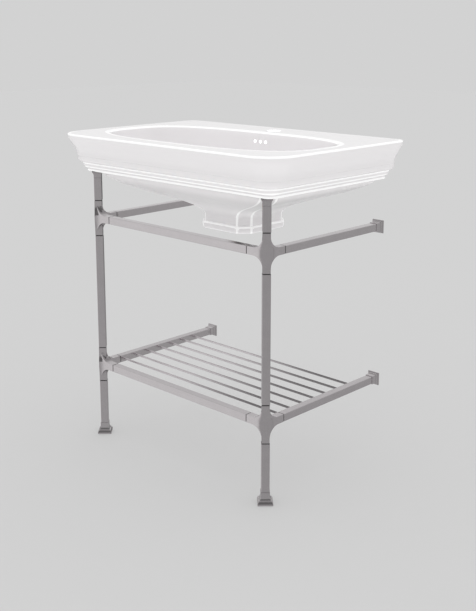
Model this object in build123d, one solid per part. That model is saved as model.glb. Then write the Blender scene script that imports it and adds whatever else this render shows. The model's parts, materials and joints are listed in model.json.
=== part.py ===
from build123d import *
import math
import os

# Frame: X runs along the wall, +Y points into the wall, Z is up. The origin is on the floor,
# under the middle of the basin's outline. All sizes are in millimetres.

# Basin, outside
basin_width = 800.0
basin_depth = 520.0
rim_height = 875.0
rim_front_radius = 80.0
rim_back_radius = 30.0
moulding_front_radius = 22.0
moulding_back_radius = 26.0

# Fascia: a cyma under the rim, two ovolos and a square fillet, as (inset, drop) stages
cyma_inset = 25.5
cyma_drop = 57.0
ovolo_start_drop = 62.0
ovolo_upper_inset = 14.2
ovolo_upper_drop = 17.0
ovolo_lower_step = 1.8
ovolo_lower_inset = 10.5
ovolo_lower_drop = 16.0
fillet_inset = 2.0
fillet_drop = 9.0
cyma_steps = 5
ovolo_steps = 3

# Underside hull, neck and ring
wall = 12.0
hull_ledge_side = 24.0
hull_ledge_front = 24.0
hull_height = 111.0
hull_steps = 7
hull_cant = 28.0
neck_half = 88.0
neck_cant = 28.0
neck_straight = 40.0
neck_y = 68.0
neck_wall = 11.0
ring_proud = 4.6
ring_height = 21.0
ring_square = 11.0

# Bowl
bowl_half_width = 345.0
bowl_half_depth = 165.0
bowl_y = -29.0
bowl_power = 3.0
bowl_depth = 138.0
bowl_floor_half_width = 100.0
bowl_floor_half_depth = 58.0
bowl_lip = 7.0
bowl_points = 32
bowl_levels = (0.0, 0.12, 0.3, 0.5, 0.7, 0.86, 0.95, 1.0)

# Tap hole, overflow and wall fixings
tap_hole_radius = 17.5
tap_hole_y = 192.0
overflow_hole_radius = 4.2
overflow_pitch = 19.5
overflow_z_below_rim = 26.0
duct_half_width = 21.0
duct_wall = 7.0
duct_depth = 14.0
duct_gap_behind_bowl = 1.0
fixing_spacing = 280.0
fixing_hole_radius = 7.0
fixing_drop = 60.0

# Waste
waste_y = 50.0
waste_hole_radius = 23.0
waste_boss_radius = 38.0
waste_boss_height = 47.0
tail_radius = 20.955
relief_height = 2.0  # the tail's thread relief under the back nut
relief_depth = 0.75
tail_bore_radius = 18.4
tail_length = 86.0
flange_radius = 31.0
flange_thick = 2.4
flange_seat_gap = 1.0
upper_seal_thick = 1.6
lower_seal_radius = 32.0
lower_seal_thick = 5.0
backnut_radius = 31.0
backnut_thick = 12.0
thread_gap = 0.08
slot_width = 11.0
slot_height = 14.0
cartridge_radius = 9.0
cartridge_length = 38.0
cartridge_floor = 3.0
spoke_width = 5.0
spoke_thick = 6.0
stem_radius = 5.0
running_gap = 0.08
plug_radius = 29.0
plug_edge = 2.6
plug_crown = 2.4
plug_seal_thick = 1.8
plug_seal_outer = 26.0
plug_seal_inner = 21.5
plug_travel = 9.0
spring_length = 9.0
spring_outer = 4.6
spring_inner = 3.4

# Stand, overall places
leg_inset_side = 30.0
leg_inset_front = 22.0
upper_rail_z = 638.0
lower_rail_z = 211.0

# Stand, sections
leg_size = 21.0
leg_wall = 1.5
leg_edge = 1.2
rail_size = 20.0
rail_wall = 1.2
rail_edge = 1.0
spigot_gap = 0.1
leg_spigot_length = 20.0
rail_spigot_length = 22.0

# Cross castings
casting_half_height = 48.5
collar_size = 19.4
plate_half = 15.5
plate_proud = 10.5
plate_flat_half = 9.0
plate_flare_end = 41.0
arm_length = 55.0
arm_flare_radius = 33.0
arm_root = 3.0

# Leg cap and its pad
pad_thick = 2.0
cap_size = 28.0
cap_plate = 3.5
cap_flare = 9.0
cap_collar = 5.0
cap_spigot_length = 26.0

# Ogee mouldings shared by the feet and the wall roses, as shares of their height
foot_size = 39.0
foot_height = 32.0
foot_lift = 1.0
foot_socket_depth = 19.0
foot_neck = 23.4
rose_size = 35.0
rose_height = 23.0
rose_neck = 23.0
rose_gap = 0.2
ogee_plinth = 0.13
ogee_bevel = 0.31
ogee_bevel_inset = 2.6
ogee_flare = 0.72
ogee_steps = 5

# Levelling feet
stud_radius = 4.95
stud_length = 40.0
stud_pitch = 1.5
glide_radius = 13.0
glide_thick = 5.0
glide_boss_radius = 8.0
glide_boss_height = 5.0
glide_recess_gap = 1.0
foot_plate_hole_gap = 0.8
level_nut_length = 16.0

# Wall sockets
socket_plate_size = 30.0
socket_plate_thick = 5.0
socket_spigot_length = 33.0
socket_hollow = 11.4
socket_hole_radius = 3.25
plate_gap = 0.3

# Shelf rods
rod_count = 7
rod_radius = 3.0
rod_first = 68.0
rod_pitch = 47.5
rod_grip = 6.0
rod_gap = 0.1

# Grub screws
grub_radius = 1.95
grub_gap = 0.1
grub_length = 5.0
grub_proud = 0.3
grub_from_seam = 5.0
grub_from_leg_seam = 8.0
socket_grub_y = 29.0

# Worked-out places
wall_y = basin_depth / 2
front_y = -basin_depth / 2
half_width = basin_width / 2
ovolo_top_inset = cyma_inset
arris_inset = ovolo_top_inset + ovolo_upper_inset
arris_drop = ovolo_start_drop + ovolo_upper_drop
arris_low_inset = arris_inset + ovolo_lower_step + ovolo_lower_inset
arris_low_drop = arris_drop + ovolo_lower_drop
moulding_inset = arris_low_inset + fillet_inset
moulding_drop = arris_low_drop + fillet_drop
ledge_z = rim_height - moulding_drop
moulding_half_width = half_width - moulding_inset
moulding_front_y = front_y + moulding_inset
leg_x = moulding_half_width - leg_inset_side
leg_y = moulding_front_y + leg_inset_front
neck_top_z = ledge_z - hull_height
neck_bottom_z = neck_top_z - neck_straight
ledge_top_z = ledge_z + wall
deck_under_z = rim_height - wall - 2.0
bowl_floor_z = rim_height - bowl_depth
bowl_back_y = bowl_y + bowl_half_depth
boss_bottom_z = bowl_floor_z - waste_boss_height
flange_recess = flange_thick + upper_seal_thick
seal_seat_z = bowl_floor_z - flange_recess
nut_top_z = boss_bottom_z - lower_seal_thick
tail_bottom_z = bowl_floor_z - tail_length
slot_z = boss_bottom_z + 20.0
leg_inner = leg_size - 2 * leg_wall
leg_spigot = leg_inner - 2 * spigot_gap
rail_inner = rail_size - 2 * rail_wall
rail_spigot = rail_inner - 2 * spigot_gap
arm_end_x = leg_x - arm_length
arm_end_y = leg_y + arm_length
cap_top_z = ledge_z - pad_thick
cap_seam_z = cap_top_z - cap_plate - cap_flare - cap_collar
foot_top_z = foot_lift + foot_height
foot_floor_z = foot_top_z - foot_socket_depth
glide_top_z = glide_thick + glide_boss_height
foot_recess_top_z = glide_top_z + glide_recess_gap
socket_plate_y = wall_y - socket_plate_thick
diagonal = math.sqrt(0.5)


def rounded_section(z, inset, front_radius, back_radius):
    """A rounded rectangle of the fascia at height z: inset at the front and the two sides, flush at the wall."""
    x = half_width - inset
    y = front_y + inset
    plan = Polyline((-x, y), (x, y), (x, wall_y), (-x, wall_y), close=True)
    face = make_face(plan)
    corners = face.vertices().sort_by(Axis.Y)
    face = fillet(corners[:2], front_radius)
    corners = [v for v in face.vertices() if v.Y > wall_y - 1.0]
    face = fillet(corners, back_radius)
    return Pos(0, 0, z) * face


def canted_section(z, half_x, front, back, cant):
    """An eight-sided section of the hull or neck at height z, about the neck's centre."""
    points = [
        (half_x - cant, -front),
        (half_x, -front + cant),
        (half_x, back - cant),
        (half_x - cant, back),
        (cant - half_x, back),
        (-half_x, back - cant),
        (-half_x, -front + cant),
        (cant - half_x, -front),
    ]
    return Pos(0, neck_y, z) * make_face(Polyline(*points, close=True))


def fascia_stages():
    """The fascia's profile as (inset, drop): half a cosine wave, two quarter ellipses and a fillet."""
    stages = []
    for i in range(cyma_steps + 1):
        share = i / cyma_steps
        stages.append((cyma_inset * (1 - math.cos(math.pi * share)) / 2, cyma_drop * share))
    for i in range(ovolo_steps + 1):
        turn = math.pi / 2 * i / ovolo_steps
        inset = ovolo_top_inset + ovolo_upper_inset * (1 - math.cos(turn))
        stages.append((inset, ovolo_start_drop + ovolo_upper_drop * math.sin(turn)))
    for i in range(1, ovolo_steps + 1):
        turn = math.pi / 2 * i / ovolo_steps
        inset = arris_inset + ovolo_lower_step + ovolo_lower_inset * (1 - math.cos(turn))
        stages.append((inset, arris_drop + ovolo_lower_drop * math.sin(turn)))
    stages.append((moulding_inset, arris_low_drop + 2.0))
    stages.append((moulding_inset, moulding_drop))
    return stages


def fascia_block():
    """The deck and fascia as one ruled loft through the profile's stages."""
    sections = []
    for inset, drop in fascia_stages():
        share = inset / moulding_inset
        front = rim_front_radius + (moulding_front_radius - rim_front_radius) * share
        back = rim_back_radius + (moulding_back_radius - rim_back_radius) * share
        sections.append(rounded_section(rim_height - drop, inset, front, back))
    return loft(sections, ruled=True)


def hull_spread(z):
    """How far the hull has spread at height z, from 0 at the neck to 1 at the ledge: half a cosine wave."""
    share = (z - neck_top_z) / hull_height
    share = min(max(share, 0.0), 1.0)
    return (1 - math.cos(math.pi * share)) / 2


def hull_section(z, lift, thin):
    """The hull's eight-sided section, raised by lift and drawn in by thin for the hollow inside it."""
    spread = hull_spread(z)
    half_x = neck_half + (moulding_half_width - hull_ledge_side - neck_half) * spread
    front_reach = neck_y - (moulding_front_y + hull_ledge_front)
    back_reach = wall_y - neck_y
    front = neck_half + (front_reach - neck_half) * spread
    back = neck_half + (back_reach - neck_half) * spread
    cant = neck_cant + (hull_cant - neck_cant) * spread
    return canted_section(z + lift, half_x - thin, front - thin, back - thin, cant)


def hull_solid(lift, thin, bottom_z, top_z):
    """The hull with its straight neck, from bottom_z up to top_z."""
    levels = [neck_top_z + hull_height * i / hull_steps for i in range(hull_steps + 1)]
    sections = [hull_section(z, lift, thin) for z in levels]
    neck = canted_section(bottom_z, neck_half - thin, neck_half - thin, neck_half - thin, neck_cant)
    top = hull_section(levels[-1], top_z - levels[-1], thin)
    return loft([neck] + sections + [top], ruled=True)


def neck_ring():
    """The ring round the neck's foot: a square band over an ovolo."""
    ring_top = neck_bottom_z + ring_height
    wide = neck_half + ring_proud
    band = ring_top - ring_square
    sections = [canted_section(z, wide, wide, wide, neck_cant) for z in (ring_top, band)]
    below = band - neck_bottom_z
    for i in range(1, ovolo_steps + 1):
        turn = math.pi / 2 * i / ovolo_steps
        half = wide - (ring_proud + 5.0) * (1 - math.cos(turn))
        sections.append(canted_section(band - below * math.sin(turn), half, half, half, neck_cant))
    return loft(sections, ruled=True)


def bowl_section(z, half_x, half_y, centre_y):
    """A closed superellipse: |x / half_x| ^ power + |y / half_y| ^ power = 1."""
    points = []
    for i in range(bowl_points):
        turn = 2 * math.pi * i / bowl_points
        c = math.cos(turn)
        s = math.sin(turn)
        x = half_x * math.copysign(abs(c) ** (2 / bowl_power), c)
        y = half_y * math.copysign(abs(s) ** (2 / bowl_power), s)
        points.append((x, y + centre_y))
    return Pos(0, 0, z) * make_face(Polyline(*points, close=True))


def bowl_solid(grow):
    """The bowl's inside, or with grow its outside: the sections shrink to the floor like a quarter wave."""
    floor_y = waste_y - 8.0
    sections = []
    depth = bowl_depth + grow
    if grow == 0:
        wide = bowl_half_width + bowl_lip
        deep = bowl_half_depth + bowl_lip
        sections.append(bowl_section(rim_height + 5.0, wide, deep, bowl_y))
        sections.append(bowl_section(rim_height, wide, deep, bowl_y))
        sections.append(bowl_section(rim_height - 0.3 * bowl_lip, wide - 0.7 * bowl_lip, deep - 0.7 * bowl_lip, bowl_y))
    for level in bowl_levels:
        shape = (1 - level ** 2.4) ** 0.59
        half_x = bowl_floor_half_width + (bowl_half_width - bowl_floor_half_width) * shape + grow
        half_y = bowl_floor_half_depth + (bowl_half_depth - bowl_floor_half_depth) * shape + grow
        centre = floor_y + (bowl_y - floor_y) * shape
        z = rim_height - bowl_lip - (depth - bowl_lip) * level
        sections.append(bowl_section(z, half_x, half_y, centre))
    return loft(sections, ruled=True)


def box(x0, x1, y0, y1, z0, z1):
    """A box between two corners."""
    middle = Pos((x0 + x1) / 2, (y0 + y1) / 2, (z0 + z1) / 2)
    return middle * Box(x1 - x0, y1 - y0, z1 - z0)


def rod_z(x, y, z0, z1, radius):
    """An upright cylinder from z0 to z1."""
    return Pos(x, y, (z0 + z1) / 2) * Cylinder(radius, z1 - z0)


def rod_x(x0, x1, y, z, radius):
    """A cylinder along X from x0 to x1."""
    return Pos((x0 + x1) / 2, y, z) * Rot(0, 90, 0) * Cylinder(radius, x1 - x0)


def rod_y(x, y0, y1, z, radius):
    """A cylinder along Y from y0 to y1."""
    return Pos(x, (y0 + y1) / 2, z) * Rot(90, 0, 0) * Cylinder(radius, y1 - y0)


def make_basin():
    """The ceramic: outer block, less the hollow behind the bowl, the bowl, the duct and the holes."""
    outer = fascia_block() + hull_solid(0, 0, neck_bottom_z + 5.0, ledge_z + 2.0) + neck_ring()
    corner = rim_front_radius
    upper = Pos(0, 0, deck_under_z) * hollow_plan(wall, corner)
    lower = Pos(0, 0, ledge_top_z) * hollow_plan(moulding_inset + wall, moulding_front_radius)
    hollow = loft([lower, upper], ruled=True)
    hollow += hull_solid(wall, neck_wall, neck_bottom_z - 5.0, ledge_top_z + 3.0)
    hollow -= bowl_solid(wall)
    hollow -= rod_z(0, waste_y, boss_bottom_z, bowl_floor_z, waste_boss_radius)
    duct_y = bowl_back_y + wall + duct_gap_behind_bowl
    duct_back = duct_y + duct_depth + duct_wall
    duct_top = deck_under_z + 1.0
    low_z = slot_z - duct_wall
    hollow -= box(-duct_half_width, duct_half_width, duct_y - duct_wall, duct_back, low_z, duct_top)
    hollow -= box(-duct_half_width, duct_half_width, waste_y, duct_back, low_z, slot_z + slot_height + duct_wall)
    basin = outer - hollow - bowl_solid(0)
    inner = duct_half_width - duct_wall
    hole_z = rim_height - overflow_z_below_rim
    basin -= box(-inner, inner, duct_y, duct_y + duct_depth, slot_z, hole_z + 8.0)
    basin -= box(-inner, inner, waste_y, duct_y + duct_depth, slot_z, slot_z + slot_height)
    for i in (-1, 0, 1):
        x = i * overflow_pitch
        basin -= rod_y(x, bowl_back_y - 40.0, duct_y + 2.0, hole_z, overflow_hole_radius)
    basin -= rod_z(0, waste_y, boss_bottom_z - 1.0, bowl_floor_z + 1.0, waste_hole_radius)
    basin -= rod_z(0, waste_y, seal_seat_z, bowl_floor_z + 1.0, flange_radius + flange_seat_gap)
    basin -= rod_z(0, tap_hole_y, deck_under_z - 2.0, rim_height + 1.0, tap_hole_radius)
    for side in (-1, 1):
        x = side * fixing_spacing / 2
        basin -= rod_y(x, wall_y - 2 * wall, wall_y + 1.0, rim_height - fixing_drop, fixing_hole_radius)
    return basin


def hollow_plan(inset, front_radius):
    """The plan of the hollow behind the bowl, one wall inside the fascia."""
    x = half_width - inset
    y0 = front_y + inset
    y1 = wall_y - wall
    face = make_face(Polyline((-x, y0), (x, y0), (x, y1), (-x, y1), close=True))
    corners = face.vertices().sort_by(Axis.Y)
    return fillet(corners[:2], front_radius)


def tube(size, thickness, edge, length):
    """A square tube along Z with softly rounded outer edges, centred."""
    plan = RectangleRounded(size, size, edge) - Rectangle(size - 2 * thickness, size - 2 * thickness)
    return Pos(0, 0, -length / 2) * extrude(plan, length)


def leg_tube(z0, z1):
    """A leg tube, set at 45 degrees in plan, about the right leg's axis."""
    return Pos(leg_x, leg_y, (z0 + z1) / 2) * Rot(0, 0, 45) * tube(leg_size, leg_wall, leg_edge, z1 - z0)


def leg_block(size, z0, z1):
    """A square block at 45 degrees about the right leg's axis."""
    return Pos(leg_x, leg_y, (z0 + z1) / 2) * Rot(0, 0, 45) * Box(size, size, z1 - z0)


def face_plate():
    """A casting's outer plate: its elevation widens from the collar to the middle in concave arcs."""
    narrow = collar_size / 2
    rise = plate_flare_end - plate_flat_half
    run = plate_half - narrow
    radius = (rise * rise + run * run) / (2 * run)
    sag_angle = math.asin(rise / radius) / 2
    mid_t = narrow + radius * (1 - math.cos(sag_angle))
    mid_z = plate_flare_end - radius * math.sin(sag_angle)
    outline = [
        Line((narrow, casting_half_height), (narrow, plate_flare_end)),
        ThreePointArc((narrow, plate_flare_end), (mid_t, mid_z), (plate_half, plate_flat_half)),
        Line((plate_half, plate_flat_half), (plate_half, -plate_flat_half)),
        ThreePointArc((plate_half, -plate_flat_half), (mid_t, -mid_z), (narrow, -plate_flare_end)),
        Line((narrow, -plate_flare_end), (narrow, -casting_half_height)),
        Line((narrow, -casting_half_height), (-narrow, -casting_half_height)),
        Line((-narrow, -casting_half_height), (-narrow, -plate_flare_end)),
        ThreePointArc((-narrow, -plate_flare_end), (-mid_t, -mid_z), (-plate_half, -plate_flat_half)),
        Line((-plate_half, -plate_flat_half), (-plate_half, plate_flat_half)),
        ThreePointArc((-plate_half, plate_flat_half), (-mid_t, mid_z), (-narrow, plate_flare_end)),
        Line((-narrow, plate_flare_end), (-narrow, casting_half_height)),
        Line((-narrow, casting_half_height), (narrow, casting_half_height)),
    ]
    face = make_face(outline)
    depth = plate_proud + collar_size / 2
    plate = extrude(Plane.XZ * face, depth)
    return Pos(0, collar_size / 2, 0) * plate


def arm_web():
    """An arm along -X with quarter-round flares up and down to the leg, about the casting's centre."""
    half = rail_size / 2
    radius = arm_flare_radius
    start = arm_root + radius
    lean = radius * (1 - math.sqrt(0.5))
    up = half + radius
    outline = [
        Line((-arm_length, half), (-start, half)),
        ThreePointArc((-start, half), (-arm_root - lean, half + lean), (-arm_root, up)),
        Line((-arm_root, up), (0, up)),
        Line((0, up), (0, -up)),
        Line((0, -up), (-arm_root, -up)),
        ThreePointArc((-arm_root, -up), (-arm_root - lean, -half - lean), (-start, -half)),
        Line((-start, -half), (-arm_length, -half)),
        Line((-arm_length, -half), (-arm_length, half)),
    ]
    web = extrude(Plane.XZ * make_face(outline), rail_size)
    return Pos(0, rail_size / 2, 0) * web


def casting(z, with_rod_hole):
    """A cross casting about the right leg: outer plate, two arms and four spigots."""
    arm = arm_web()
    spigot_x = -arm_length - rail_spigot_length / 2
    arm += Pos(spigot_x, 0, 0) * Box(rail_spigot_length, rail_spigot, rail_spigot)
    body = Rot(0, 0, 45) * face_plate() + arm + Rot(0, 0, -90) * arm
    spigot_z = casting_half_height + leg_spigot_length / 2
    for side in (-1, 1):
        spigot = Pos(0, 0, side * spigot_z) * Rot(0, 0, 45) * Box(leg_spigot, leg_spigot, leg_spigot_length)
        body += spigot
    body = Pos(leg_x, leg_y, z) * body
    if with_rod_hole:
        body -= rod_x(leg_x - rail_size, leg_x + 1.0, leg_y + rod_first, z, rod_radius + rod_gap)
    for cut in casting_grubs(z):
        body -= cut
    return body


def grub_at(x, y, z, dx, dy, radius, length):
    """A grub screw or its hole: a cylinder whose outer end stands at x, y, z, pointing along (dx, dy)."""
    turn = math.degrees(math.atan2(dy, dx))
    return Pos(x, y, z) * Rot(0, 0, turn) * Rot(0, 90, 0) * Pos(0, 0, -length / 2) * Cylinder(radius, length)


def casting_places(z):
    """Where the right casting's grub screws stand: outer end and outward direction of each."""
    face = rail_size / 2 + grub_proud
    leg_face = (leg_size / 2 + grub_proud) * diagonal
    leg_z = casting_half_height + grub_from_leg_seam
    return [
        (arm_end_x - grub_from_seam, leg_y + face, z, 0, 1),
        (leg_x - face, arm_end_y + grub_from_seam, z, -1, 0),
        (leg_x - leg_face, leg_y + leg_face, z + leg_z, -1, 1),
        (leg_x - leg_face, leg_y + leg_face, z - leg_z, -1, 1),
    ]


def casting_grubs(z):
    """The holes of a casting's grub screws."""
    return [grub_at(*place, grub_radius + grub_gap, grub_length + 0.5) for place in casting_places(z)]


def ogee_block(size, neck, height):
    """A square ogee moulding along +Z: plinth, inward bevel, concave flare and collar."""
    plinth = ogee_plinth * height
    bevel = ogee_bevel * height
    flare = ogee_flare * height
    inner = size / 2 - ogee_bevel_inset
    half = neck / 2
    stages = [(size / 2, 0.0), (size / 2, plinth), (inner, bevel)]
    for i in range(1, ogee_steps + 1):
        turn = math.pi / 2 * i / ogee_steps
        stages.append((inner - (inner - half) * math.sin(turn), bevel + (flare - bevel) * (1 - math.cos(turn))))
    stages.append((half, height))
    return loft([Pos(0, 0, z) * Rectangle(2 * r, 2 * r) for r, z in stages], ruled=True)


def make_foot():
    """The right foot: an ogee moulding at 45 degrees with a socket above and a recess below."""
    body = Rot(0, 0, 45) * ogee_block(foot_size, foot_neck, foot_height)
    body = Pos(leg_x, leg_y, foot_lift) * body
    body -= leg_block(leg_size + 2 * spigot_gap, foot_floor_z, foot_top_z + 1.0)
    body -= rod_z(leg_x, leg_y, foot_lift - 1.0, foot_recess_top_z, glide_radius + glide_recess_gap)
    return body - rod_z(leg_x, leg_y, foot_recess_top_z - 1.0, foot_floor_z + 1.0, stud_radius + foot_plate_hole_gap)


def make_cap():
    """The right leg's top cap: collar, concave flare, square plate and a spigot down into the tube."""
    half = leg_size / 2
    wide = cap_size / 2
    flare_z = cap_seam_z + cap_collar
    stages = [(half, cap_seam_z), (half, flare_z)]
    for i in range(1, ogee_steps + 1):
        turn = math.pi / 2 * i / ogee_steps
        stages.append((half + (wide - half) * (1 - math.cos(turn)), flare_z + cap_flare * math.sin(turn)))
    stages.append((wide, cap_top_z))
    body = loft([Pos(0, 0, z) * Rectangle(2 * r, 2 * r) for r, z in stages], ruled=True)
    body = Pos(leg_x, leg_y, 0) * Rot(0, 0, 45) * body
    body += leg_block(leg_spigot, cap_seam_z - cap_spigot_length, cap_seam_z)
    return body - grub_at(*cap_grub_place(), grub_radius + grub_gap, grub_length + 0.5)


def cap_grub_place():
    """Where the right cap's grub screw stands."""
    leg_face = (leg_size / 2 + grub_proud) * diagonal
    return (leg_x - leg_face, leg_y + leg_face, cap_seam_z - grub_from_leg_seam, -1, 1)


def socket_grub_place(z):
    """Where the right wall socket's grub screw stands."""
    return (leg_x - rail_size / 2 - grub_proud, wall_y - socket_grub_y, z, -1, 0)


def make_socket(z):
    """A right wall socket: a plate with a hollow square spigot and a hole for the wall's screw."""
    plate = Pos(leg_x, wall_y - socket_plate_thick / 2, z)
    body = plate * Box(socket_plate_size, socket_plate_thick, socket_plate_size)
    reach = socket_plate_y - socket_spigot_length
    half = rail_spigot / 2
    body += box(leg_x - half, leg_x + half, reach, socket_plate_y, z - half, z + half)
    inner = socket_hollow / 2
    body -= box(leg_x - inner, leg_x + inner, reach - 1.0, socket_plate_y, z - inner, z + inner)
    body -= rod_y(leg_x, socket_plate_y - 1.0, wall_y + 1.0, z, socket_hole_radius)
    return body - grub_at(*socket_grub_place(z), grub_radius + grub_gap, grub_length + 0.5)


def make_rose(z):
    """A right wall rose: an ogee moulding lying against the wall, slid over the rail and the plate."""
    body = ogee_block(rose_size, rose_neck, rose_height)
    body = Pos(leg_x, wall_y, z) * Rot(90, 0, 0) * body
    half = rail_size / 2 + rose_gap
    body -= box(leg_x - half, leg_x + half, wall_y - rose_height - 1.0, wall_y + 1.0, z - half, z + half)
    half = socket_plate_size / 2 + plate_gap
    return body - box(leg_x - half, leg_x + half, socket_plate_y - plate_gap, wall_y + 1.0, z - half, z + half)


def make_side_rail(z, with_rods):
    """A right side rail from the casting's arm to the wall socket, with its screw and rod holes."""
    length = socket_plate_y - arm_end_y
    body = Pos(leg_x, arm_end_y + length / 2, z) * Rot(90, 0, 0) * tube(rail_size, rail_wall, rail_edge, length)
    body -= grub_at(*casting_places(z)[1], grub_radius + grub_gap, grub_length)
    body -= grub_at(*socket_grub_place(z), grub_radius + grub_gap, grub_length)
    if with_rods:
        for y in rod_places():
            body -= rod_x(leg_x - rail_size, leg_x, y, z, rod_radius + rod_gap)
    return body


def make_front_rail(z):
    """A front rail between the two castings' arms."""
    body = Pos(0, leg_y, z) * Rot(0, 90, 0) * tube(rail_size, rail_wall, rail_edge, 2 * arm_end_x)
    hole = grub_at(*casting_places(z)[0], grub_radius + grub_gap, grub_length)
    return body - hole - mirror(hole, about=Plane.YZ)


def rod_places():
    """The shelf rods' Y places, at an even pitch behind the front rail."""
    return [leg_y + rod_first + rod_pitch * i for i in range(rod_count)]


def make_leg_tubes():
    """The right leg's three tubes, each with the holes of its grub screws."""
    seam_up = upper_rail_z + casting_half_height
    seam_down = upper_rail_z - casting_half_height
    low_up = lower_rail_z + casting_half_height
    low_down = lower_rail_z - casting_half_height
    tubes = {
        "leg_tube_upper": leg_tube(seam_up, cap_seam_z),
        "leg_tube_middle": leg_tube(low_up, seam_down),
        "leg_tube_lower": leg_tube(foot_floor_z, low_down),
    }
    places = [cap_grub_place()] + casting_places(upper_rail_z)[2:] + casting_places(lower_rail_z)[2:]
    for place in places:
        hole = grub_at(*place, grub_radius + grub_gap, grub_length)
        for name in tubes:
            tubes[name] = tubes[name] - hole
    return tubes


def make_levelling():
    """The right leg's nut, stud and glide pad."""
    nut = leg_block(leg_spigot, foot_floor_z, foot_floor_z + level_nut_length)
    nut -= rod_z(leg_x, leg_y, foot_floor_z - 1.0, foot_floor_z + level_nut_length + 1.0, stud_radius + running_gap)
    seat_z = glide_thick - 1.0
    stud = rod_z(leg_x, leg_y, seat_z, seat_z + stud_length, stud_radius)
    pad = rod_z(leg_x, leg_y, 0, glide_thick, glide_radius)
    pad += rod_z(leg_x, leg_y, glide_thick, glide_top_z, glide_boss_radius)
    pad -= rod_z(leg_x, leg_y, seat_z, glide_top_z + 1.0, stud_radius + running_gap)
    return {"levelling_nut": nut, "levelling_stud": stud, "glide_pad": pad}


def make_waste():
    """The push-button waste, from the flange in the bowl to the back nut in the neck."""
    flange_z = seal_seat_z + upper_seal_thick
    flange = rod_z(0, waste_y, flange_z, bowl_floor_z, flange_radius)
    flange += rod_z(0, waste_y, tail_bottom_z, flange_z, tail_radius)
    flange -= rod_z(0, waste_y, tail_bottom_z - 1.0, bowl_floor_z + 1.0, tail_bore_radius)
    reach = tail_radius + 1.0
    for turn in (0, 90):
        slot = Rot(0, 0, turn) * Box(2 * reach, slot_width, slot_height - 2.0)
        flange -= Pos(0, waste_y, slot_z + slot_height / 2) * slot
    relief_top = nut_top_z - backnut_thick
    flange -= ring(relief_top - relief_height, relief_top, tail_radius + 1.0, tail_radius - relief_depth)
    upper_seal = ring(seal_seat_z, flange_z, flange_radius, tail_radius + thread_gap)
    lower_seal = ring(nut_top_z, boss_bottom_z, lower_seal_radius, tail_radius + thread_gap)
    hexagon = extrude(RegularPolygon(backnut_radius, 6), backnut_thick)
    backnut = Pos(0, waste_y, nut_top_z - backnut_thick) * hexagon
    backnut -= rod_z(0, waste_y, nut_top_z - backnut_thick - 1.0, nut_top_z + 1.0, tail_radius + thread_gap)
    cap_z = bowl_floor_z + plug_seal_thick
    hub_top = bowl_floor_z - 10.0
    hub_bottom = hub_top - cartridge_length
    cartridge = rod_z(0, waste_y, hub_bottom, hub_top, cartridge_radius)
    rim = ring(hub_top - spoke_thick, hub_top, tail_bore_radius - thread_gap, tail_bore_radius - 2.0)
    cartridge += rim
    for i in range(3):
        spoke = Pos(0, tail_bore_radius / 2, 0) * Box(spoke_width, tail_bore_radius - 1.0, spoke_thick)
        cartridge += Pos(0, waste_y, hub_top - spoke_thick / 2) * Rot(0, 0, 120 * i) * spoke
    bore_z = hub_bottom + cartridge_floor
    cartridge -= rod_z(0, waste_y, bore_z, hub_top + 1.0, stem_radius + running_gap)
    spring = ring(bore_z, bore_z + spring_length, spring_outer, spring_inner)
    stem = rod_z(0, waste_y, bore_z + spring_length, cap_z, stem_radius)
    radius = (plug_radius ** 2 + plug_crown ** 2) / (2 * plug_crown)
    dome = Pos(0, waste_y, cap_z + plug_edge + plug_crown - radius) * Sphere(radius)
    column = rod_z(0, waste_y, cap_z, cap_z + plug_edge + plug_crown, plug_radius)
    plug = (column & dome) + stem
    plug_seal = ring(bowl_floor_z, cap_z, plug_seal_outer, plug_seal_inner)
    return {
        "waste_flange": flange,
        "waste_seal_upper": upper_seal,
        "waste_seal_lower": lower_seal,
        "waste_backnut": backnut,
        "waste_cartridge": cartridge,
        "waste_spring": spring,
        "waste_plug": plug,
        "plug_seal": plug_seal,
    }


def ring(z0, z1, outer, inner):
    """A flat ring about the waste's axis."""
    return rod_z(0, waste_y, z0, z1, outer) - rod_z(0, waste_y, z0 - 1.0, z1 + 1.0, inner)


def make_grubs():
    """Every grub screw, as a list of separate solids: the right side's, then their mirror images."""
    right = []
    for z in (upper_rail_z, lower_rail_z):
        for place in casting_places(z) + [socket_grub_place(z)]:
            right.append(grub_at(*place, grub_radius, grub_length))
    right.append(grub_at(*cap_grub_place(), grub_radius, grub_length))
    return right + [mirror(screw, about=Plane.YZ) for screw in right]


def save(name, shape):
    """Write one node's solids to its own file."""
    export_step(shape, os.path.join("parts", name + ".step"))


def save_pair(name, right):
    """Write the right-hand piece and its mirror image on the left leg."""
    save(name + "_right", right)
    save(name + "_left", mirror(right, about=Plane.YZ))


def main():
    os.makedirs("parts", exist_ok=True)
    save("basin", make_basin())
    for name, piece in make_waste().items():
        save(name, piece)
    save_pair("basin_pad", leg_block(cap_size, cap_top_z, ledge_z))
    save_pair("leg_cap", make_cap())
    for name, piece in make_leg_tubes().items():
        save_pair(name, piece)
    save_pair("casting_upper", casting(upper_rail_z, False))
    save_pair("casting_lower", casting(lower_rail_z, True))
    save_pair("foot", make_foot())
    for name, piece in make_levelling().items():
        save_pair(name, piece)
    for level, z in (("upper", upper_rail_z), ("lower", lower_rail_z)):
        save_pair("side_rail_" + level, make_side_rail(z, level == "lower"))
        save_pair("wall_socket_" + level, make_socket(z))
        save_pair("wall_rose_" + level, make_rose(z))
    save("towel_rail", make_front_rail(upper_rail_z))
    save("shelf_front_rail", make_front_rail(lower_rail_z))
    rod_end = leg_x - rail_size / 2 + rod_grip
    for number, y in enumerate(rod_places(), start=1):
        save(f"shelf_rod_{number}", rod_x(-rod_end, rod_end, y, lower_rail_z, rod_radius))
    save("joint_screws", Compound(make_grubs()))


main()
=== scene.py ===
import json
import logging
import math
from dataclasses import dataclass, field
from enum import Enum
from typing import Sequence

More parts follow.
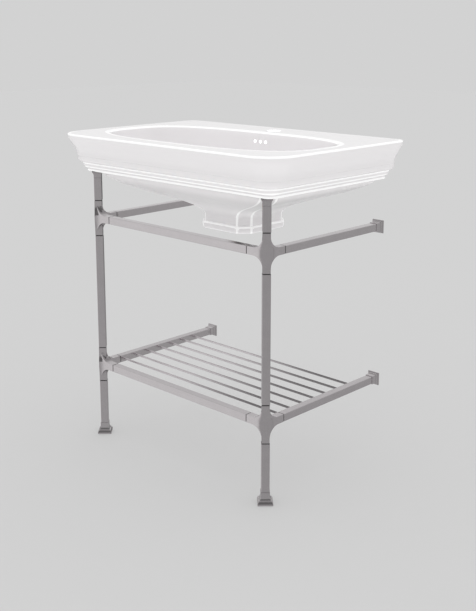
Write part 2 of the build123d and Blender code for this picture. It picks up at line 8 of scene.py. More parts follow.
import bmesh
import bpy
import numpy as np
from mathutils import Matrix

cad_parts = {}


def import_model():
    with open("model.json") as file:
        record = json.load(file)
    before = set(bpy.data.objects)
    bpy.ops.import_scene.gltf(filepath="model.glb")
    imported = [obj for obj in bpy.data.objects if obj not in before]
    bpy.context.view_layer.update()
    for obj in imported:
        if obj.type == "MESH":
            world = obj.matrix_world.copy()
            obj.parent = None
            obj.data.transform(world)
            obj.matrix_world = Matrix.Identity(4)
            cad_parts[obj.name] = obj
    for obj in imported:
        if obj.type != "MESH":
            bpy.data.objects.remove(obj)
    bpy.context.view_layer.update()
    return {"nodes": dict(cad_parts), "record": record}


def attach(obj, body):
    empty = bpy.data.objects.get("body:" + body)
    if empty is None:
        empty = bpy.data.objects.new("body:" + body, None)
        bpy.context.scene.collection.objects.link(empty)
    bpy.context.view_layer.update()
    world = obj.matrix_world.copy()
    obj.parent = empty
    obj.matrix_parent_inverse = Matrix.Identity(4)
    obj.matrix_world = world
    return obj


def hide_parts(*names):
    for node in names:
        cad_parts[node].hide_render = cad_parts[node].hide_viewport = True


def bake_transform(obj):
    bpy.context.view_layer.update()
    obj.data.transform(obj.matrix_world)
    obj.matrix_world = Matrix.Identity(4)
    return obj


log = logging.getLogger("basin")

Colour = tuple[int, int, int]
Place = tuple[float, float, float]
Rows = Sequence[tuple[float, ...]]
Socket = bpy.types.NodeSocket
Object = bpy.types.Object
Material = bpy.types.Material

MM = 0.001  # the frame is in metres, the shapes here are in millimetres
BODY = "stand"
SIDES = {"right": 1.0, "left": -1.0}
QUARTER = math.pi / 2
HALF_ROOT = math.sqrt(0.5)
SHARP = 32.0  # degrees from which an edge is shaded sharp
REACH = 40.0  # millimetres over which the basin's painted highlight value falls from 1 to 0
FRONT_LEFT, FRONT_RIGHT = (-0.69, -0.72, 0.0), (0.69, -0.72, 0.0)
BACK_LEFT = (-0.69, 0.72, 0.5)  # and a little upward


# ----- Shapes: closed skins over grids of points, in millimetres -----


def smooth(x: np.ndarray, low: float, high: float) -> np.ndarray:
    """Rises from 0 at low to 1 at high with flat ends, as 3 t squared less 2 t cubed."""
    t = np.clip((x - low) / (high - low), 0.0, 1.0)
    return t * t * (3.0 - 2.0 * t)


def soft_profile(points: Sequence[tuple[float, float]], size: float, ring: bool = False) -> np.ndarray:
    """Rounds the corners of a profile.

    Each corner becomes a quadratic curve in three runs. It starts and ends `size` away from the
    corner, or a third of the neighbouring run if that is shorter. A nearly straight corner stays.

    Args:
        points: the profile's corners in order.
        size: how far from a corner its rounding starts.
        ring: whether the last corner joins the first.

    Returns:
        The rounded profile, of shape (points, 2).
    """
    straight = -0.94  # the cosine between the two runs
    p = np.array(points, float)
    t = np.linspace(0, 1, 4)[:, None]
    out: list[np.ndarray] = []
    for i, here in enumerate(p):
        before, after = p[i - 1] - here, p[(i + 1) % len(p)] - here
        a, b = np.linalg.norm(before), np.linalg.norm(after)
        is_end = not ring and i in (0, len(p) - 1)
        if is_end or np.dot(before, after) / max(a * b, 1e-9) < straight:
            out.append(here[None])
            continue
        start, end = here + before / a * min(size, a / 3), here + after / b * min(size, b / 3)
        out.append((1 - t) ** 2 * start + 2 * t * (1 - t) * here + t ** 2 * end)
    return np.concatenate(out)


def square_loops(half: np.ndarray, edge: np.ndarray | float, arc: int = 4) -> np.ndarray:
    """Squares with round corners, one for each half width.

    Each corner is an arc of radius `edge` about a centre set in from both sides, with one more point
    on each side close to the arc to hold the flats flat.

    Args:
        half: half the width of each square.
        edge: the corner radius of each square; near to half it gives a circle.
        arc: runs in each corner.

    Returns:
        An array of shape (squares, points, 2).
    """
    roundest, hold = 0.985, 0.4
    half, edge = np.broadcast_arrays(np.asarray(half, float), np.asarray(edge, float))
    edge = np.minimum(edge, half * roundest)
    centre = (half - edge)[:, None]
    near = np.minimum(hold, 0.45 * centre)
    turn = np.linspace(0, QUARTER, arc + 1)[None]
    x = centre + edge[:, None] * np.cos(turn)
    y = centre + edge[:, None] * np.sin(turn)
    x = np.concatenate([half[:, None], x, centre - near], 1)
    y = np.concatenate([centre - near, y, half[:, None]], 1)
    xs = np.concatenate([x, -y, -x, y], 1)
    ys = np.concatenate([y, x, -y, -x], 1)
    return np.stack([xs, ys], -1)


def circle_loops(radius: Sequence[float] | np.ndarray, count: int) -> np.ndarray:
    """Circles of the given radii, as an array of shape (circles, count, 2)."""
    turn = np.arange(count) * 2 * math.pi / count
    return np.asarray(radius, float)[:, None, None] * np.stack([np.cos(turn), np.sin(turn)], -1)


def raised(flat: np.ndarray, z: Sequence[float] | np.ndarray) -> np.ndarray:
    """Gives each flat loop its height."""
    z = np.asarray(z, float)[:, None, None]
    return np.concatenate([flat, np.broadcast_to(z, (*flat.shape[:2], 1))], -1)


class Way(Enum):
    """How a shape's own axes lie in the room, as the rows of a matrix."""

    ALONG_X = ((0, 1, 0), (0, 0, 1), (1, 0, 0))
    FROM_WALL = ((1, 0, 0), (0, 0, 1), (0, -1, 0))
    TO_WALL = ((1, 0, 0), (0, 0, 1), (0, 1, 0))
    DIAGONAL = ((HALF_ROOT, -HALF_ROOT, 0), (HALF_ROOT, HALF_ROOT, 0), (0, 0, 1))
    MIRRORED = ((-1, 0, 0), (0, 1, 0), (0, 0, 1))


@dataclass
class Shape:
    """Points in millimetres and the faces over them, gathered from closed skins."""

    points: list[np.ndarray] = field(default_factory=list)
    faces: list[np.ndarray] = field(default_factory=list)
    masks: list[np.ndarray] = field(default_factory=list)
    count: int = 0

    def skin(self, loops: np.ndarray, ring: bool = False, mask: np.ndarray | float = 0.0) -> "Shape":
        """Adds a closed skin over loops of points.

        Each loop closes on itself. The last loop joins the first, or else both end loops are closed
        with a fan to their middle. The faces are turned outward by the sign of the enclosed volume.

        Args:
            loops: an array of shape (loops, points, 3).
            ring: whether the last loop joins the first.
            mask: each point's painted light value, for painted highlights and painted shade, of shape
                (loops, points) or less.

        Returns:
            The shape itself.
        """
        rows, cols = loops.shape[:2]
        i = np.arange(rows if ring else rows - 1)[:, None]
        j = np.arange(cols)[None]
        up, on = (i + 1) % rows, (j + 1) % cols
        corners = [i * cols + j, i * cols + on, up * cols + on, up * cols + j]
        quads = np.stack(corners, -1).reshape(-1, 4)
        points = loops.reshape(-1, 3)
        values = np.broadcast_to(mask, (rows, cols)).reshape(-1)
        faces = [quads]
        if not ring:
            points = np.concatenate([points, loops[0].mean(0)[None], loops[-1].mean(0)[None]])
            values = np.concatenate([values, values[:1], values[-1:]])
            k, middle = np.arange(cols), np.full(cols, rows * cols)
            after, top = (k + 1) % cols, (rows - 1) * cols
            faces += [np.stack([after, k, middle], -1), np.stack([top + k, top + after, middle + 1], -1)]
        tris = np.concatenate([quads[:, :3], quads[:, [0, 2, 3]]] + faces[1:])
        a, b, c = points[tris[:, 0]], points[tris[:, 1]], points[tris[:, 2]]
        outward = np.einsum("ij,ij->", a, np.cross(b, c)) >= 0
        faces = faces if outward else [f[:, ::-1] for f in faces]
        return self.join(Shape([points], faces, [values], len(points)))

    def moved(self, turn: np.ndarray, x: float = 0.0, y: float = 0.0, z: float = 0.0) -> "Shape":
        """A copy turned by a matrix of row axes, then moved; a mirrored one's faces are turned round."""
        step = -1 if np.linalg.det(turn) < 0 else 1
        return Shape([p @ turn + (x, y, z) for p in self.points], [f[:, ::step] for f in self.faces],
                     list(self.masks), self.count)

    def placed(self, way: Way, x: float = 0.0, y: float = 0.0, z: float = 0.0) -> "Shape":
        """A copy laid the given way, then moved."""
        return self.moved(np.array(way.value, float), x, y, z)

    def on_side(self, sign: float) -> "Shape":
        """The shape itself for the right side, or its mirror image for the left."""
        return self if sign > 0 else self.placed(Way.MIRRORED)

    def join(self, other: "Shape") -> "Shape":
        """Adds another shape's skins."""
        self.faces += [f + self.count for f in other.faces]
        self.points += other.points
        self.masks += other.masks
        self.count += other.count
        return self


# ----- Pieces -----


def options(thing: bpy.types.bpy_struct, **settings: object) -> None:
    """Sets several properties of one of Blender's things."""
    for key, value in settings.items():
        setattr(thing, key, value)


def dress(name: str, mesh: bpy.types.Mesh, material: Material, sharp: float) -> Object:
    """Links a mesh as an object with smooth shading.

    Args:
        name: the object's name.
        mesh: its mesh.
        material: its material, unless the mesh has one.
        sharp: the angle in degrees from which an edge is shaded sharp.

    Returns:
        The object.
    """
    if not len(mesh.materials):
        mesh.materials.append(material)
    mesh.shade_smooth()
    mesh.set_sharp_from_angle(angle=math.radians(sharp))
    obj = bpy.data.objects.new(name, mesh)
    bpy.context.scene.collection.objects.link(obj)
    return obj


def make_object(name: str, shape: Shape, material: Material, sharp: float = SHARP) -> Object:
    """Makes a Blender object, at the origin, from a shape.

    Args:
        name: the piece's name.
        shape: the shape in millimetres.
        material: its material.
        sharp: the angle in degrees from which an edge is shaded sharp.

    Returns:
        The object, whose mesh has the shape's mask as its point attribute of painted light values.
    """
    mesh = bpy.data.meshes.new(name)
    faces = [tuple(f) for block in shape.faces for f in block.tolist()]
    mesh.from_pydata((np.concatenate(shape.points) * MM).tolist(), [], faces)
    mask = mesh.attributes.new("painted_light", "FLOAT", "POINT")
    mask.data.foreach_set("value", np.concatenate(shape.masks).astype(np.float32))
    return dress(name, mesh, material, sharp)


def softened(name: str, node: Object, material: Material, width: float,
             segments: int) -> Object:
    """A copy of a CAD node with its tessellation merged and its edges rounded.

    Args:
        name: the new piece's name.
        node: the CAD node's object, which is left alone.
        material: the finish.
        width: the bevel's width in millimetres.
        segments: runs in the bevel.

    Returns:
        The new object.
    """
    weld, flat, sharp = 2e-6, math.radians(0.8), math.radians(33)
    mesh = node.data.copy()
    work = bmesh.new()
    work.from_mesh(mesh)
    bmesh.ops.remove_doubles(work, verts=work.verts, dist=weld)
    bmesh.ops.dissolve_limit(work, angle_limit=flat, verts=work.verts, edges=work.edges)
    bmesh.ops.recalc_face_normals(work, faces=work.faces)
    work.to_mesh(mesh)
    work.free()
    mesh.materials.clear()
    obj = dress(name, mesh, material, SHARP)
    options(obj.modifiers.new("edges", "BEVEL"), width=width * MM, segments=segments,
            limit_method="ANGLE", angle_limit=sharp, miter_outer="MITER_ARC",
            use_clamp_overlap=True, harden_normals=True)
    return obj


def commit(obj: Object, body: str, slot: str, *nodes: str) -> Object:
    """Puts a piece on its body and says which CAD nodes it stands for.

    Args:
        obj: the piece.
        body: the body that it rides on.
        slot: the record's material slot; not used.
        nodes: the CAD nodes that it takes the place of.

    Returns:
        The piece.
    """
    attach(obj, body)
    if nodes:
        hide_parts(*nodes)
    report(obj, body, ", ".join(nodes) or "itself")
    return obj


def report(obj: Object, body: str, stands_for: str) -> None:
    """Logs a piece that is done."""
    log.info("piece %s on %s: %d faces for %s", obj.name, body, len(obj.data.polygons), stands_for)


# ----- Finishes -----


def linear(r: int, g: int, b: int) -> tuple[float, float, float, float]:
    """A linear colour from display values of 0 to 255."""
    c = np.array([r, g, b]) / 255.0
    c = np.where(c <= 0.04045, c / 12.92, ((c + 0.055) / 1.055) ** 2.4)
    return (float(c[0]), float(c[1]), float(c[2]), 1.0)


class Graph:
    """The node tree of a material, a node group or the world, with short calls to add nodes."""

    def __init__(self, owner: bpy.types.ID) -> None:
        """Takes a node group as its own tree, or empties the tree of a material or the world."""
        self.owner = self.tree = owner
        if not isinstance(owner, bpy.types.NodeTree):
            owner.use_nodes = True
            self.tree = owner.node_tree
            self.tree.nodes.clear()

    def add(self, kind: str, inputs: dict | None = None, **settings: object) -> bpy.types.Node:
        """Adds a node.

        Args:
            kind: the node's type.
            inputs: values, or sockets to link from, by the input's name or number.
            settings: the node's own options, which are set first.

        Returns:
            The node.
        """
        node = self.tree.nodes.new(kind)
        options(node, **settings)
        for key, value in (inputs or {}).items():
            if isinstance(value, Socket):
                self.tree.links.new(value, node.inputs[key])
            else:
                node.inputs[key].default_value = value
        return node

    def out(self, kind: str, inputs: dict, output: int | str = 0, **settings: object) -> Socket:
        """Adds a node and gives one of its outputs."""
        return self.add(kind, inputs, **settings).outputs[output]

    def maths(self, operation: str, a: object, b: object = 0.0, c: object = 0.0) -> Socket:
        """A Math node's result."""
        return self.out("ShaderNodeMath", {0: a, 1: b, 2: c}, operation=operation)

    def remap(self, value: object, low: float, high: float, to_low: float = 0.0,
              to_high: float = 1.0) -> Socket:
        """A value moved smoothly from one range to another."""
        keys = ("Value", "From Min", "From Max", "To Min", "To Max")
        return self.out("ShaderNodeMapRange", dict(zip(keys, (value, low, high, to_low, to_high))),
                        interpolation_type="SMOOTHSTEP")

    def mixed(self, share: object, a: object, b: object) -> Socket:
        """The value a where the share is 0 and b where it is 1."""
        return self.out("ShaderNodeMix", {0: share, 2: a, 3: b}, data_type="FLOAT")

    def scaled(self, colour: object, factor: object) -> Socket:
        """A colour times a value."""
        return self.out("ShaderNodeVectorMath", {0: colour, "Scale": factor}, operation="SCALE")

    def toward(self, way: object, aim: Place) -> Socket:
        """How far a direction points the way of an aim."""
        return self.out("ShaderNodeVectorMath", {0: way, 1: aim}, "Value", operation="DOT_PRODUCT")

    def noise(self, where: object, scale: float, detail: float, rough: float = 0.5) -> Socket:
        """Noise of about 0 to 1."""
        return self.out("ShaderNodeTexNoise", {"Vector": where, "Scale": scale, "Detail": detail,
                                               "Roughness": rough})

    def bump(self, height: object, strength: float, distance: float) -> Socket:
        """A normal bent by a height."""
        return self.out("ShaderNodeBump", {"Height": height, "Strength": strength, "Distance": distance})


def new_group(name: str, takes: Sequence[str], gives: Sequence[str]) -> Graph:
    """A node group.

    Args:
        name: the group's name.
        takes: the names of its vector inputs.
        gives: the names of its value outputs.

    Returns:
        Its nodes.
    """
    g = Graph(bpy.data.node_groups.new(name, "ShaderNodeTree"))
    for keys, end, kind in ((takes, "INPUT", "Vector"), (gives, "OUTPUT", "Float")):
        for key in keys:
            g.tree.interface.new_socket(key, in_out=end, socket_type=f"NodeSocket{kind}")
    return g


def polish_group() -> bpy.types.NodeTree:
    """Streaks and clouds of hand polishing: a value of about 0 to 1 for each."""
    g = new_group("polish", ("Vector", "Along"), ("Streak", "Cloud"))
    where, along = list(g.add("NodeGroupInput").outputs)[:2]
    stretched = g.out("ShaderNodeVectorMath", {0: where, 1: along}, operation="MULTIPLY")
    g.add("NodeGroupOutput", {"Streak": g.remap(g.noise(stretched, 900.0, 3.0, 0.6), 0.3, 0.7),
                              "Cloud": g.remap(g.noise(where, 38.0, 4.0, 0.62), 0.3, 0.7)})
    return g.tree


def glaze_group() -> bpy.types.NodeTree:
    """The slow waviness and rare specks of a fired glaze, as values of about 0 to 1."""
    g = new_group("glaze", ("Vector",), ("Wave", "Speck"))
    where = g.add("NodeGroupInput").outputs["Vector"]
    speck = g.out("ShaderNodeTexVoronoi", {"Vector": where, "Scale": 130.0}, "Distance")
    g.add("NodeGroupOutput", {"Wave": g.noise(where, 55.0, 1.5),
                              "Speck": g.remap(speck, 0.03, 0.10, 1.0, 0.0)})
    return g.tree


@dataclass(frozen=True)
class Coat:
    """A finished material and the record's slot that it is for."""

    slot: str
    material: Material


@dataclass(frozen=True)
class Finish:
    """A named surface for one of the record's slots, in a display colour of 0 to 255."""

    name: str
    slot: str
    colour: Colour

    def start(self, ending: str = "") -> tuple[Graph, Socket]:
        """A new material's nodes and the Object coordinates among them."""
        g = Graph(bpy.data.materials.new(self.name + ending))
        return g, g.out("ShaderNodeTexCoord", {}, "Object")

    def coat(self, g: Graph, inputs: dict[str, object]) -> Coat:
        """Ends a material in a Principled shader with the given inputs."""
        g.add("ShaderNodeOutputMaterial", {0: g.out("ShaderNodeBsdfPrincipled", inputs)})
        return Coat(self.slot, g.owner)


class Grain(Enum):
    """The direction that a metal piece was polished in, as the stretch of its streaks."""

    ALONG_X = (0.012, 1.0, 1.0)
    ALONG_Y = (1.0, 0.012, 1.0)
    ALONG_Z = (1.0, 1.0, 0.012)
    NONE = (0.3, 0.3, 0.3)


@dataclass(frozen=True)
class Metal(Finish):
    """A polished or brushed metal."""

    roughness: float = 0.13
    spread: float = 0.06
    streak: float = 0.035
    streak_height: float = 0.4
    bump: float = 0.012
    bump_depth: float = 0.0006
    gap: tuple[float, float] = (0.35, 0.75)
    # painted shade: the colour's share left in joint gaps, then in creases
    gap_shade: float = 0.10
    crease_shade: float = 0.16
    hollows: tuple[float, float, float] = (0.55, 0.92, 0.005)
    # painted reflection: where along X the colour is lightened, and by how much
    painted_reflection: tuple[float, float, float] | None = None

    def build(self, polish: bpy.types.NodeTree, grain: Grain = Grain.NONE) -> Coat:
        """Makes the material.

        The base colour is a little lighter or darker by the polish's clouds and streaks. It falls to the
        gap shade share of itself where the painted light value is 1: a painted shade in the gap at a
        joint. It falls to the crease shade share of itself in narrow hollows: a painted shade where the
        hollows would be shaded. Those are found by how open the surface is: full and none at the first two
        values of `hollows`, looked at over the third. With the painted reflection range, the colour is
        multiplied by its third value at its first place along X, and left alone from the second on: a
        painted reflection, lighter towards one end.

        Args:
            polish: the shared node group.
            grain: the direction of polishing.

        Returns:
            The material with its slot.
        """
        g, where = self.start(f"_{grain.name.lower()}")
        polished = g.add("ShaderNodeGroup", {"Vector": where, "Along": grain.value}, node_tree=polish)
        streak, cloud = polished.outputs["Streak"], polished.outputs["Cloud"]
        shade = g.maths("ADD", g.maths("MULTIPLY_ADD", streak, self.streak, 1.0 - self.streak * 0.5),
                        g.maths("MULTIPLY_ADD", cloud, self.streak, -self.streak * 0.5))
        gap = g.out("ShaderNodeAttribute", {}, "Fac", attribute_name="painted_light")
        low, full, span = self.hollows
        hollow = g.out("ShaderNodeAmbientOcclusion", {"Distance": span}, "AO", samples=8, only_local=True)
        factors = [g.remap(gap, *self.gap, 1.0, self.gap_shade), g.remap(hollow, low, full, self.crease_shade)]
        if self.painted_reflection:
            x = g.out("ShaderNodeSeparateXYZ", {0: where}, "X")
            factors.append(g.remap(x, *self.painted_reflection, 1.0))
        for factor in factors:
            shade = g.maths("MULTIPLY", shade, factor)
        height = g.maths("ADD", g.maths("MULTIPLY", streak, self.streak_height), cloud)
        return self.coat(g, {
            "Base Color": g.scaled(linear(*self.colour)[:3], shade), "Metallic": 1.0,
            "Roughness": g.maths("MULTIPLY_ADD", cloud, self.spread, self.roughness),
            "Normal": g.bump(height, self.bump, self.bump_depth)})


@dataclass(frozen=True)
class Glaze(Finish):
    """Glazed white ceramic: a soft white, with a painted highlight along its edges: whiter and glowing.

    The painted highlight value falls from 1 on a marked edge to 0 at REACH millimetres from it, and the
    white band is `line` millimetres to each side. The glaze has a sheen at a slant.
    """

    # the painted highlight's colour, then how strongly the highlight glows
    highlight_or_inset: Colour = (255, 255, 255)
    painted_glow: float = 0.08
    gloss: float = 0.15
    sheen: float = 0.7
    sheen_roughness: float = 0.2
    line: float = 3.1
    speck: float = 0.015
    roughness: tuple[float, float] = (0.10, 0.10)
    wave: tuple[float, float] = (0.05, 0.001)

    def build(self, glaze: bpy.types.NodeTree) -> Coat:
        """Makes the material, with its painted highlight bands, faint specks, waves and sheen.

        Args:
            glaze: the shared node group.

        Returns:
            The material with its slot.
        """
        g, where = self.start()
        fired = g.add("ShaderNodeGroup", {"Vector": where}, node_tree=glaze).outputs
        near = g.out("ShaderNodeAttribute", {}, "Fac", attribute_name="painted_light")
        # painted highlight: white, glowing bands along the marked edges
        width = self.line / REACH
        highlight = g.remap(near, 1.0 - 1.25 * width, 1.0 - 0.75 * width)
        colour = g.out("ShaderNodeMix", {0: highlight, 6: linear(*self.colour), 7: linear(*self.highlight_or_inset)}, 2,
                       data_type="RGBA")
        speck = g.maths("MULTIPLY_ADD", fired["Speck"], -self.speck, 1.0)
        return self.coat(g, {
            "Base Color": g.scaled(colour, speck), "Normal": g.bump(fired["Wave"], *self.wave),
            "Roughness": g.maths("MULTIPLY_ADD", fired["Wave"], *self.roughness),
            "Specular IOR Level": self.gloss, "Sheen Weight": self.sheen,
            "Sheen Roughness": self.sheen_roughness, "Emission Strength": 1.0,
            "Emission Color": g.scaled((1.0, 1.0, 1.0), g.maths("MULTIPLY", highlight, self.painted_glow))})


@dataclass(frozen=True)
class GlowingHoleGlaze(Finish):
    """The white inside the small holes, the same all over, which glows: painted light where the holes would
    be shaded.
    """

    painted_glow: float = 0.55
    gloss: float = 0.15
    roughness: float = 0.14

    def build(self) -> Coat:
        """Makes the material, with every value the same all over."""
        return self.coat(self.start()[0], {
            "Base Color": linear(*self.colour), "Roughness": self.roughness,
            "Specular IOR Level": self.gloss, "Emission Color": (1.0, 1.0, 1.0, 1.0),
            "Emission Strength": self.painted_glow})


@dataclass(frozen=True)
class Moulded(Finish):
    """Rubber or plastic: a matt colour with a fine moulded grain."""

    roughness: float
    grain: float = 2600.0
    bump: tuple[float, float] = (0.12, 0.0003)

    def build(self) -> Coat:
        """Makes the material."""
        g, where = self.start()
        fine = g.noise(where, self.grain, 2.0)
        shade = g.maths("MULTIPLY_ADD", g.noise(where, 120.0, 3.0), 0.22, 0.89)
        return self.coat(g, {
            "Base Color": g.scaled(linear(*self.colour)[:3], shade), "Normal": g.bump(fine, *self.bump),
            "Roughness": g.maths("MULTIPLY_ADD", fine, 0.15, self.roughness - 0.07)})


class Finishes:
    """Every finish, made once."""

    def __init__(self) -> None:
        """Makes the shared groups and the materials."""
        polish, glaze = polish_group(), glaze_group()
        self.ceramic = Glaze("glazed_ceramic", "ceramic", (237, 235, 236)).build(glaze)
        # a white that glows inside the small holes: painted light where they would be shaded
        self.ceramic_hole_glow = GlowingHoleGlaze("glazed_ceramic_painted_glow", "ceramic", (255, 255, 255)).build()
        nickel = Metal("polished_nickel", "nickel", (226, 221, 223))
        self.nickel = {grain: nickel.build(polish, grain) for grain in Grain}
        # nickel with a deeper painted shade in the castings' creases
        self.cast = Metal("cast_nickel", "nickel", nickel.colour, crease_shade=0.22,
                          hollows=(0.76, 0.93, 0.012)).build(polish)
        # a darker copy of the nickel for the rods, with a painted reflection lighter towards -X
        self.rod = Metal("shelf_rod_nickel_painted_reflection", "nickel", (150, 146, 148), roughness=0.22,
                         painted_reflection=(-0.12, 0.22, 3.0)).build(polish, Grain.ALONG_X)
        self.steel = Metal("stainless_steel", "steel", (176, 174, 172), 0.28, streak=0.08).build(polish)
        self.brass = Metal("brass", "brass", (206, 172, 106), 0.3, streak=0.08).build(polish)
        self.rubber = Moulded("black_rubber", "rubber", (38, 38, 40), 0.75).build()
        self.plastic = Moulded("black_plastic", "plastic", (30, 30, 32), 0.5).build()
        self.white_plastic = Moulded("white_plastic", "white_plastic", (226, 226, 222), 0.42).build()

    def by_slot(self) -> dict[str, Material]:
        """The material for each slot of the record, for CAD nodes that stay."""
        coats = (self.ceramic, self.nickel[Grain.NONE], self.brass, self.steel, self.rubber,
                 self.plastic, self.white_plastic)
        return {coat.slot: coat.material for coat in coats}


@dataclass
class Assembly:
    """What each sub-assembly works from: the finishes, and the CAD nodes by name."""

    finishes: Finishes
    nodes: dict[str, Object]

    def piece(self, node: str, ending: str, shape: Shape, coat: Coat, body: str = BODY,
              sharp: float = SHARP) -> None:
        """Shows a new surface in place of a CAD node, named after it."""
        commit(make_object(f"{node}_{ending}", shape, coat.material, sharp), body, coat.slot, node)

    def edged(self, node: str, ending: str, coat: Coat, width: float, segments: int = 2) -> None:
        """Shows a CAD node with its edges rounded, named after it."""
        obj = softened(f"{node}_{ending}", self.nodes[node], coat.material, width, segments)
        commit(obj, BODY, coat.slot, node)


# ----- The ceramic basin -----


def run_to_mark(points: np.ndarray, marked: np.ndarray, share: np.ndarray | float = 1.0) -> np.ndarray:
    """How far each point is from the nearest mark before or after it in its column.

    The distance is the running length down the column less that at the last mark, or that at the
    next mark less it.

    Args:
        points: the grid, of shape (rows, columns, 3).
        marked: which points are marked.
        share: how much of each step's length counts.

    Returns:
        An array of shape (rows, columns).
    """
    far = 1e6
    step = np.linalg.norm(np.diff(points, axis=0), axis=2) * share
    run = np.concatenate([np.zeros((1, points.shape[1])), np.cumsum(step, 0)])
    last = np.maximum.accumulate(np.where(marked, run, -far), 0)
    then = np.minimum.accumulate(np.where(marked, run, far)[::-1], 0)[::-1]
    return np.minimum(run - last, then - run)


@dataclass
class Basin(Assembly):
    """The ceramic, as one closed grid of loops from the waste hole out, round and back inside.

    Sizes are in millimetres in the frame's own axes. A row of `ledge`, `nose` or `foot` is a loop of
    the fascia: its inset, its drop below the rim, 1 where a painted highlight runs, and its inset at the
    wall. A round is an inset and a drop to start from, and how far it goes in and down. A row of
    `ring` or `mouth` is half the section's width, its height, and 1 where a painted highlight runs.
    """

    half_width: float = 400.0
    front: float = -260.0
    wall: float = 260.0
    rim: float = 875.0
    corners: tuple[float, float] = (80.0, 30.0)
    bowl_half: tuple[float, float] = (345.0, 165.0)
    bowl_y: float = -29.0
    lip: float = 7.0
    floor_half: tuple[float, float] = (100.0, 58.0)
    floor_y: float = 42.0
    floor_z: float = 737.0
    shell: float = 12.0
    neck_y: float = 68.0
    neck_half: float = 88.0
    neck_z: float = 660.0
    hull_height: float = 111.0
    hull_spread: Place = (234.0, 162.0, 104.0)
    cant: float = 28.0
    waste_y: float = 50.0
    waste_hole: Rows = ((23.0, 690.0), (23.0, 733.0), (31.2, 733.0), (32.0, 733.6), (32.0, 736.2),
                        (32.3, 736.8))
    deck_share: float = 0.3
    arc: int = 17
    side: int = 44
    soft: float = 2.4
    roll: float = 3.0
    foot_inset: float = 54.0
    corner_loss: tuple[float, float] = (58.0, 4.0)
    wave: tuple[float, float] = (25.5, 57.0)
    upper_round: Rows = ((25.5, 62.4), (14.2, 16.6))
    lower_round: Rows = ((41.5, 79.0), (10.5, 16.0))
    ledge: Rows = ((25.5, 57.2), (25.5, 59.4), (25.7, 60.4), (26.9, 61.0), (27.3, 61.9))
    nose: Rows = ((40.4, 79.25, 1), (41.3, 79.6, 1), (41.6, 80.4, 1))
    foot: Rows = (
        (53.0, 95.4), (53.8, 96.2), (54.0, 97.2), (54.0, 99.0), (54.0, 102.0, 1), (54.0, 102.8, 1),
        (54.3, 103.7, 1, 0.3), (55.2, 104.0, 1, 1.2), (57.0, 104.0, 0, 1.6))
    ring: Sequence[Place] = ((88.0, 646.0, 0), (88.0, 643.4, 0), (88.3, 642.2, 0), (89.5, 641.2, 0),
                             (91.4, 641.0, 1), (92.3, 640.6, 1), (92.6, 639.8, 1), (92.6, 637.6, 0),
                             (92.6, 631.0, 0))
    ring_round: Place = (92.6, 630.0, 9.6)
    mouth: Sequence[Place] = ((82.6, 620.0, 1), (78.4, 620.0, 1), (77.2, 620.8, 0), (77.0, 622.0, 0),
                              (77.0, 664.0, 0))

    def __post_init__(self) -> None:
        """Starts the grid, and finds the rim's directions from the middle of the bowl."""
        self.xy: list[np.ndarray] = []
        self.z: list[float] = []
        self.mask: list[np.ndarray] = []
        out = self.plan(0.0, 0.0, *self.corners) - (0.0, self.bowl_y)
        self.ways = out / np.linalg.norm(out, axis=1, keepdims=True)

    def plan(self, inset: float, wall_inset: float, front_radius: float, wall_radius: float) -> np.ndarray:
        """A rounded rectangle: four corner arcs joined by sides, from the front right corner on.

        Args:
            inset: how far it lies inside the rim at the front and the sides.
            wall_inset: how far it lies off the wall.
            front_radius: the radius of the front corners.
            wall_radius: the radius of the corners at the wall.

        Returns:
            The loop's points.
        """
        x, y0, y1 = self.half_width - inset, self.front + inset, self.wall - wall_inset
        radii = np.array([front_radius, wall_radius, wall_radius, front_radius])
        centres = np.array([[x, y0], [x, y1], [-x, y1], [-x, y0]])
        centres = centres + radii[:, None] * [[-1, 1], [-1, -1], [1, -1], [1, 1]]
        turn = np.radians(np.array([-90, 0, 90, 180])[:, None] + np.linspace(0, 90, self.arc)[None])
        arcs = centres[:, None] + radii[:, None, None] * np.stack([np.cos(turn), np.sin(turn)], -1)
        return self.with_sides(arcs)

    def with_sides(self, arcs: np.ndarray) -> np.ndarray:
        """Joins four groups of corner points by evenly divided sides."""
        share = np.linspace(0, 1, self.side + 2)[1:-1, None]
        last, then = arcs[:, -1:], np.roll(arcs[:, 0], -1, axis=0)[:, None]
        return np.concatenate([arcs, last + (then - last) * share], 1).reshape(-1, 2)

    def octagon(self, half_x: float, front: float, back: float) -> np.ndarray:
        """An eight-sided section about the neck with softly rounded arrises.

        Each cant takes the place of one corner arc: three points round each of its two arrises and
        the rest evenly between them.

        Args:
            half_x: half its width.
            front: its reach from the neck's middle to the front.
            back: its reach to the wall.

        Returns:
            As many points as the rim has.
        """
        corner = np.array([[half_x, -front], [half_x, back], [-half_x, back], [-half_x, -front]])
        onward = np.array([[1.0, 0], [0, 1.0], [-1.0, 0], [0, -1.0]])
        after = np.roll(onward, -1, axis=0)
        a, b = corner - onward * self.cant, corner + after * self.cant
        across = (after + onward) / np.linalg.norm(after + onward, axis=1, keepdims=True)
        s = self.soft
        a0, a2, b0, b2 = a - onward * s, a + across * s, b - across * s, b + after * s
        a1, b1 = 0.5 * a + 0.25 * (a0 + a2), 0.5 * b + 0.25 * (b0 + b2)
        share = np.linspace(0, 1, self.arc - 4)[None, 1:-1, None]
        middle = a2[:, None] + (b0 - a2)[:, None] * share
        arcs = np.concatenate([np.stack([a0, a1, a2], 1), middle, np.stack([b0, b1, b2], 1)], 1)
        return self.with_sides(arcs) + (0.0, self.neck_y)

    def cant_mask(self) -> np.ndarray:
        """1 on the eight arrises of a section, where painted highlights run, and 0 between them."""
        one = np.zeros((4, self.arc + self.side))
        one[:, [1, self.arc - 2]] = 1.0
        return one.reshape(-1)

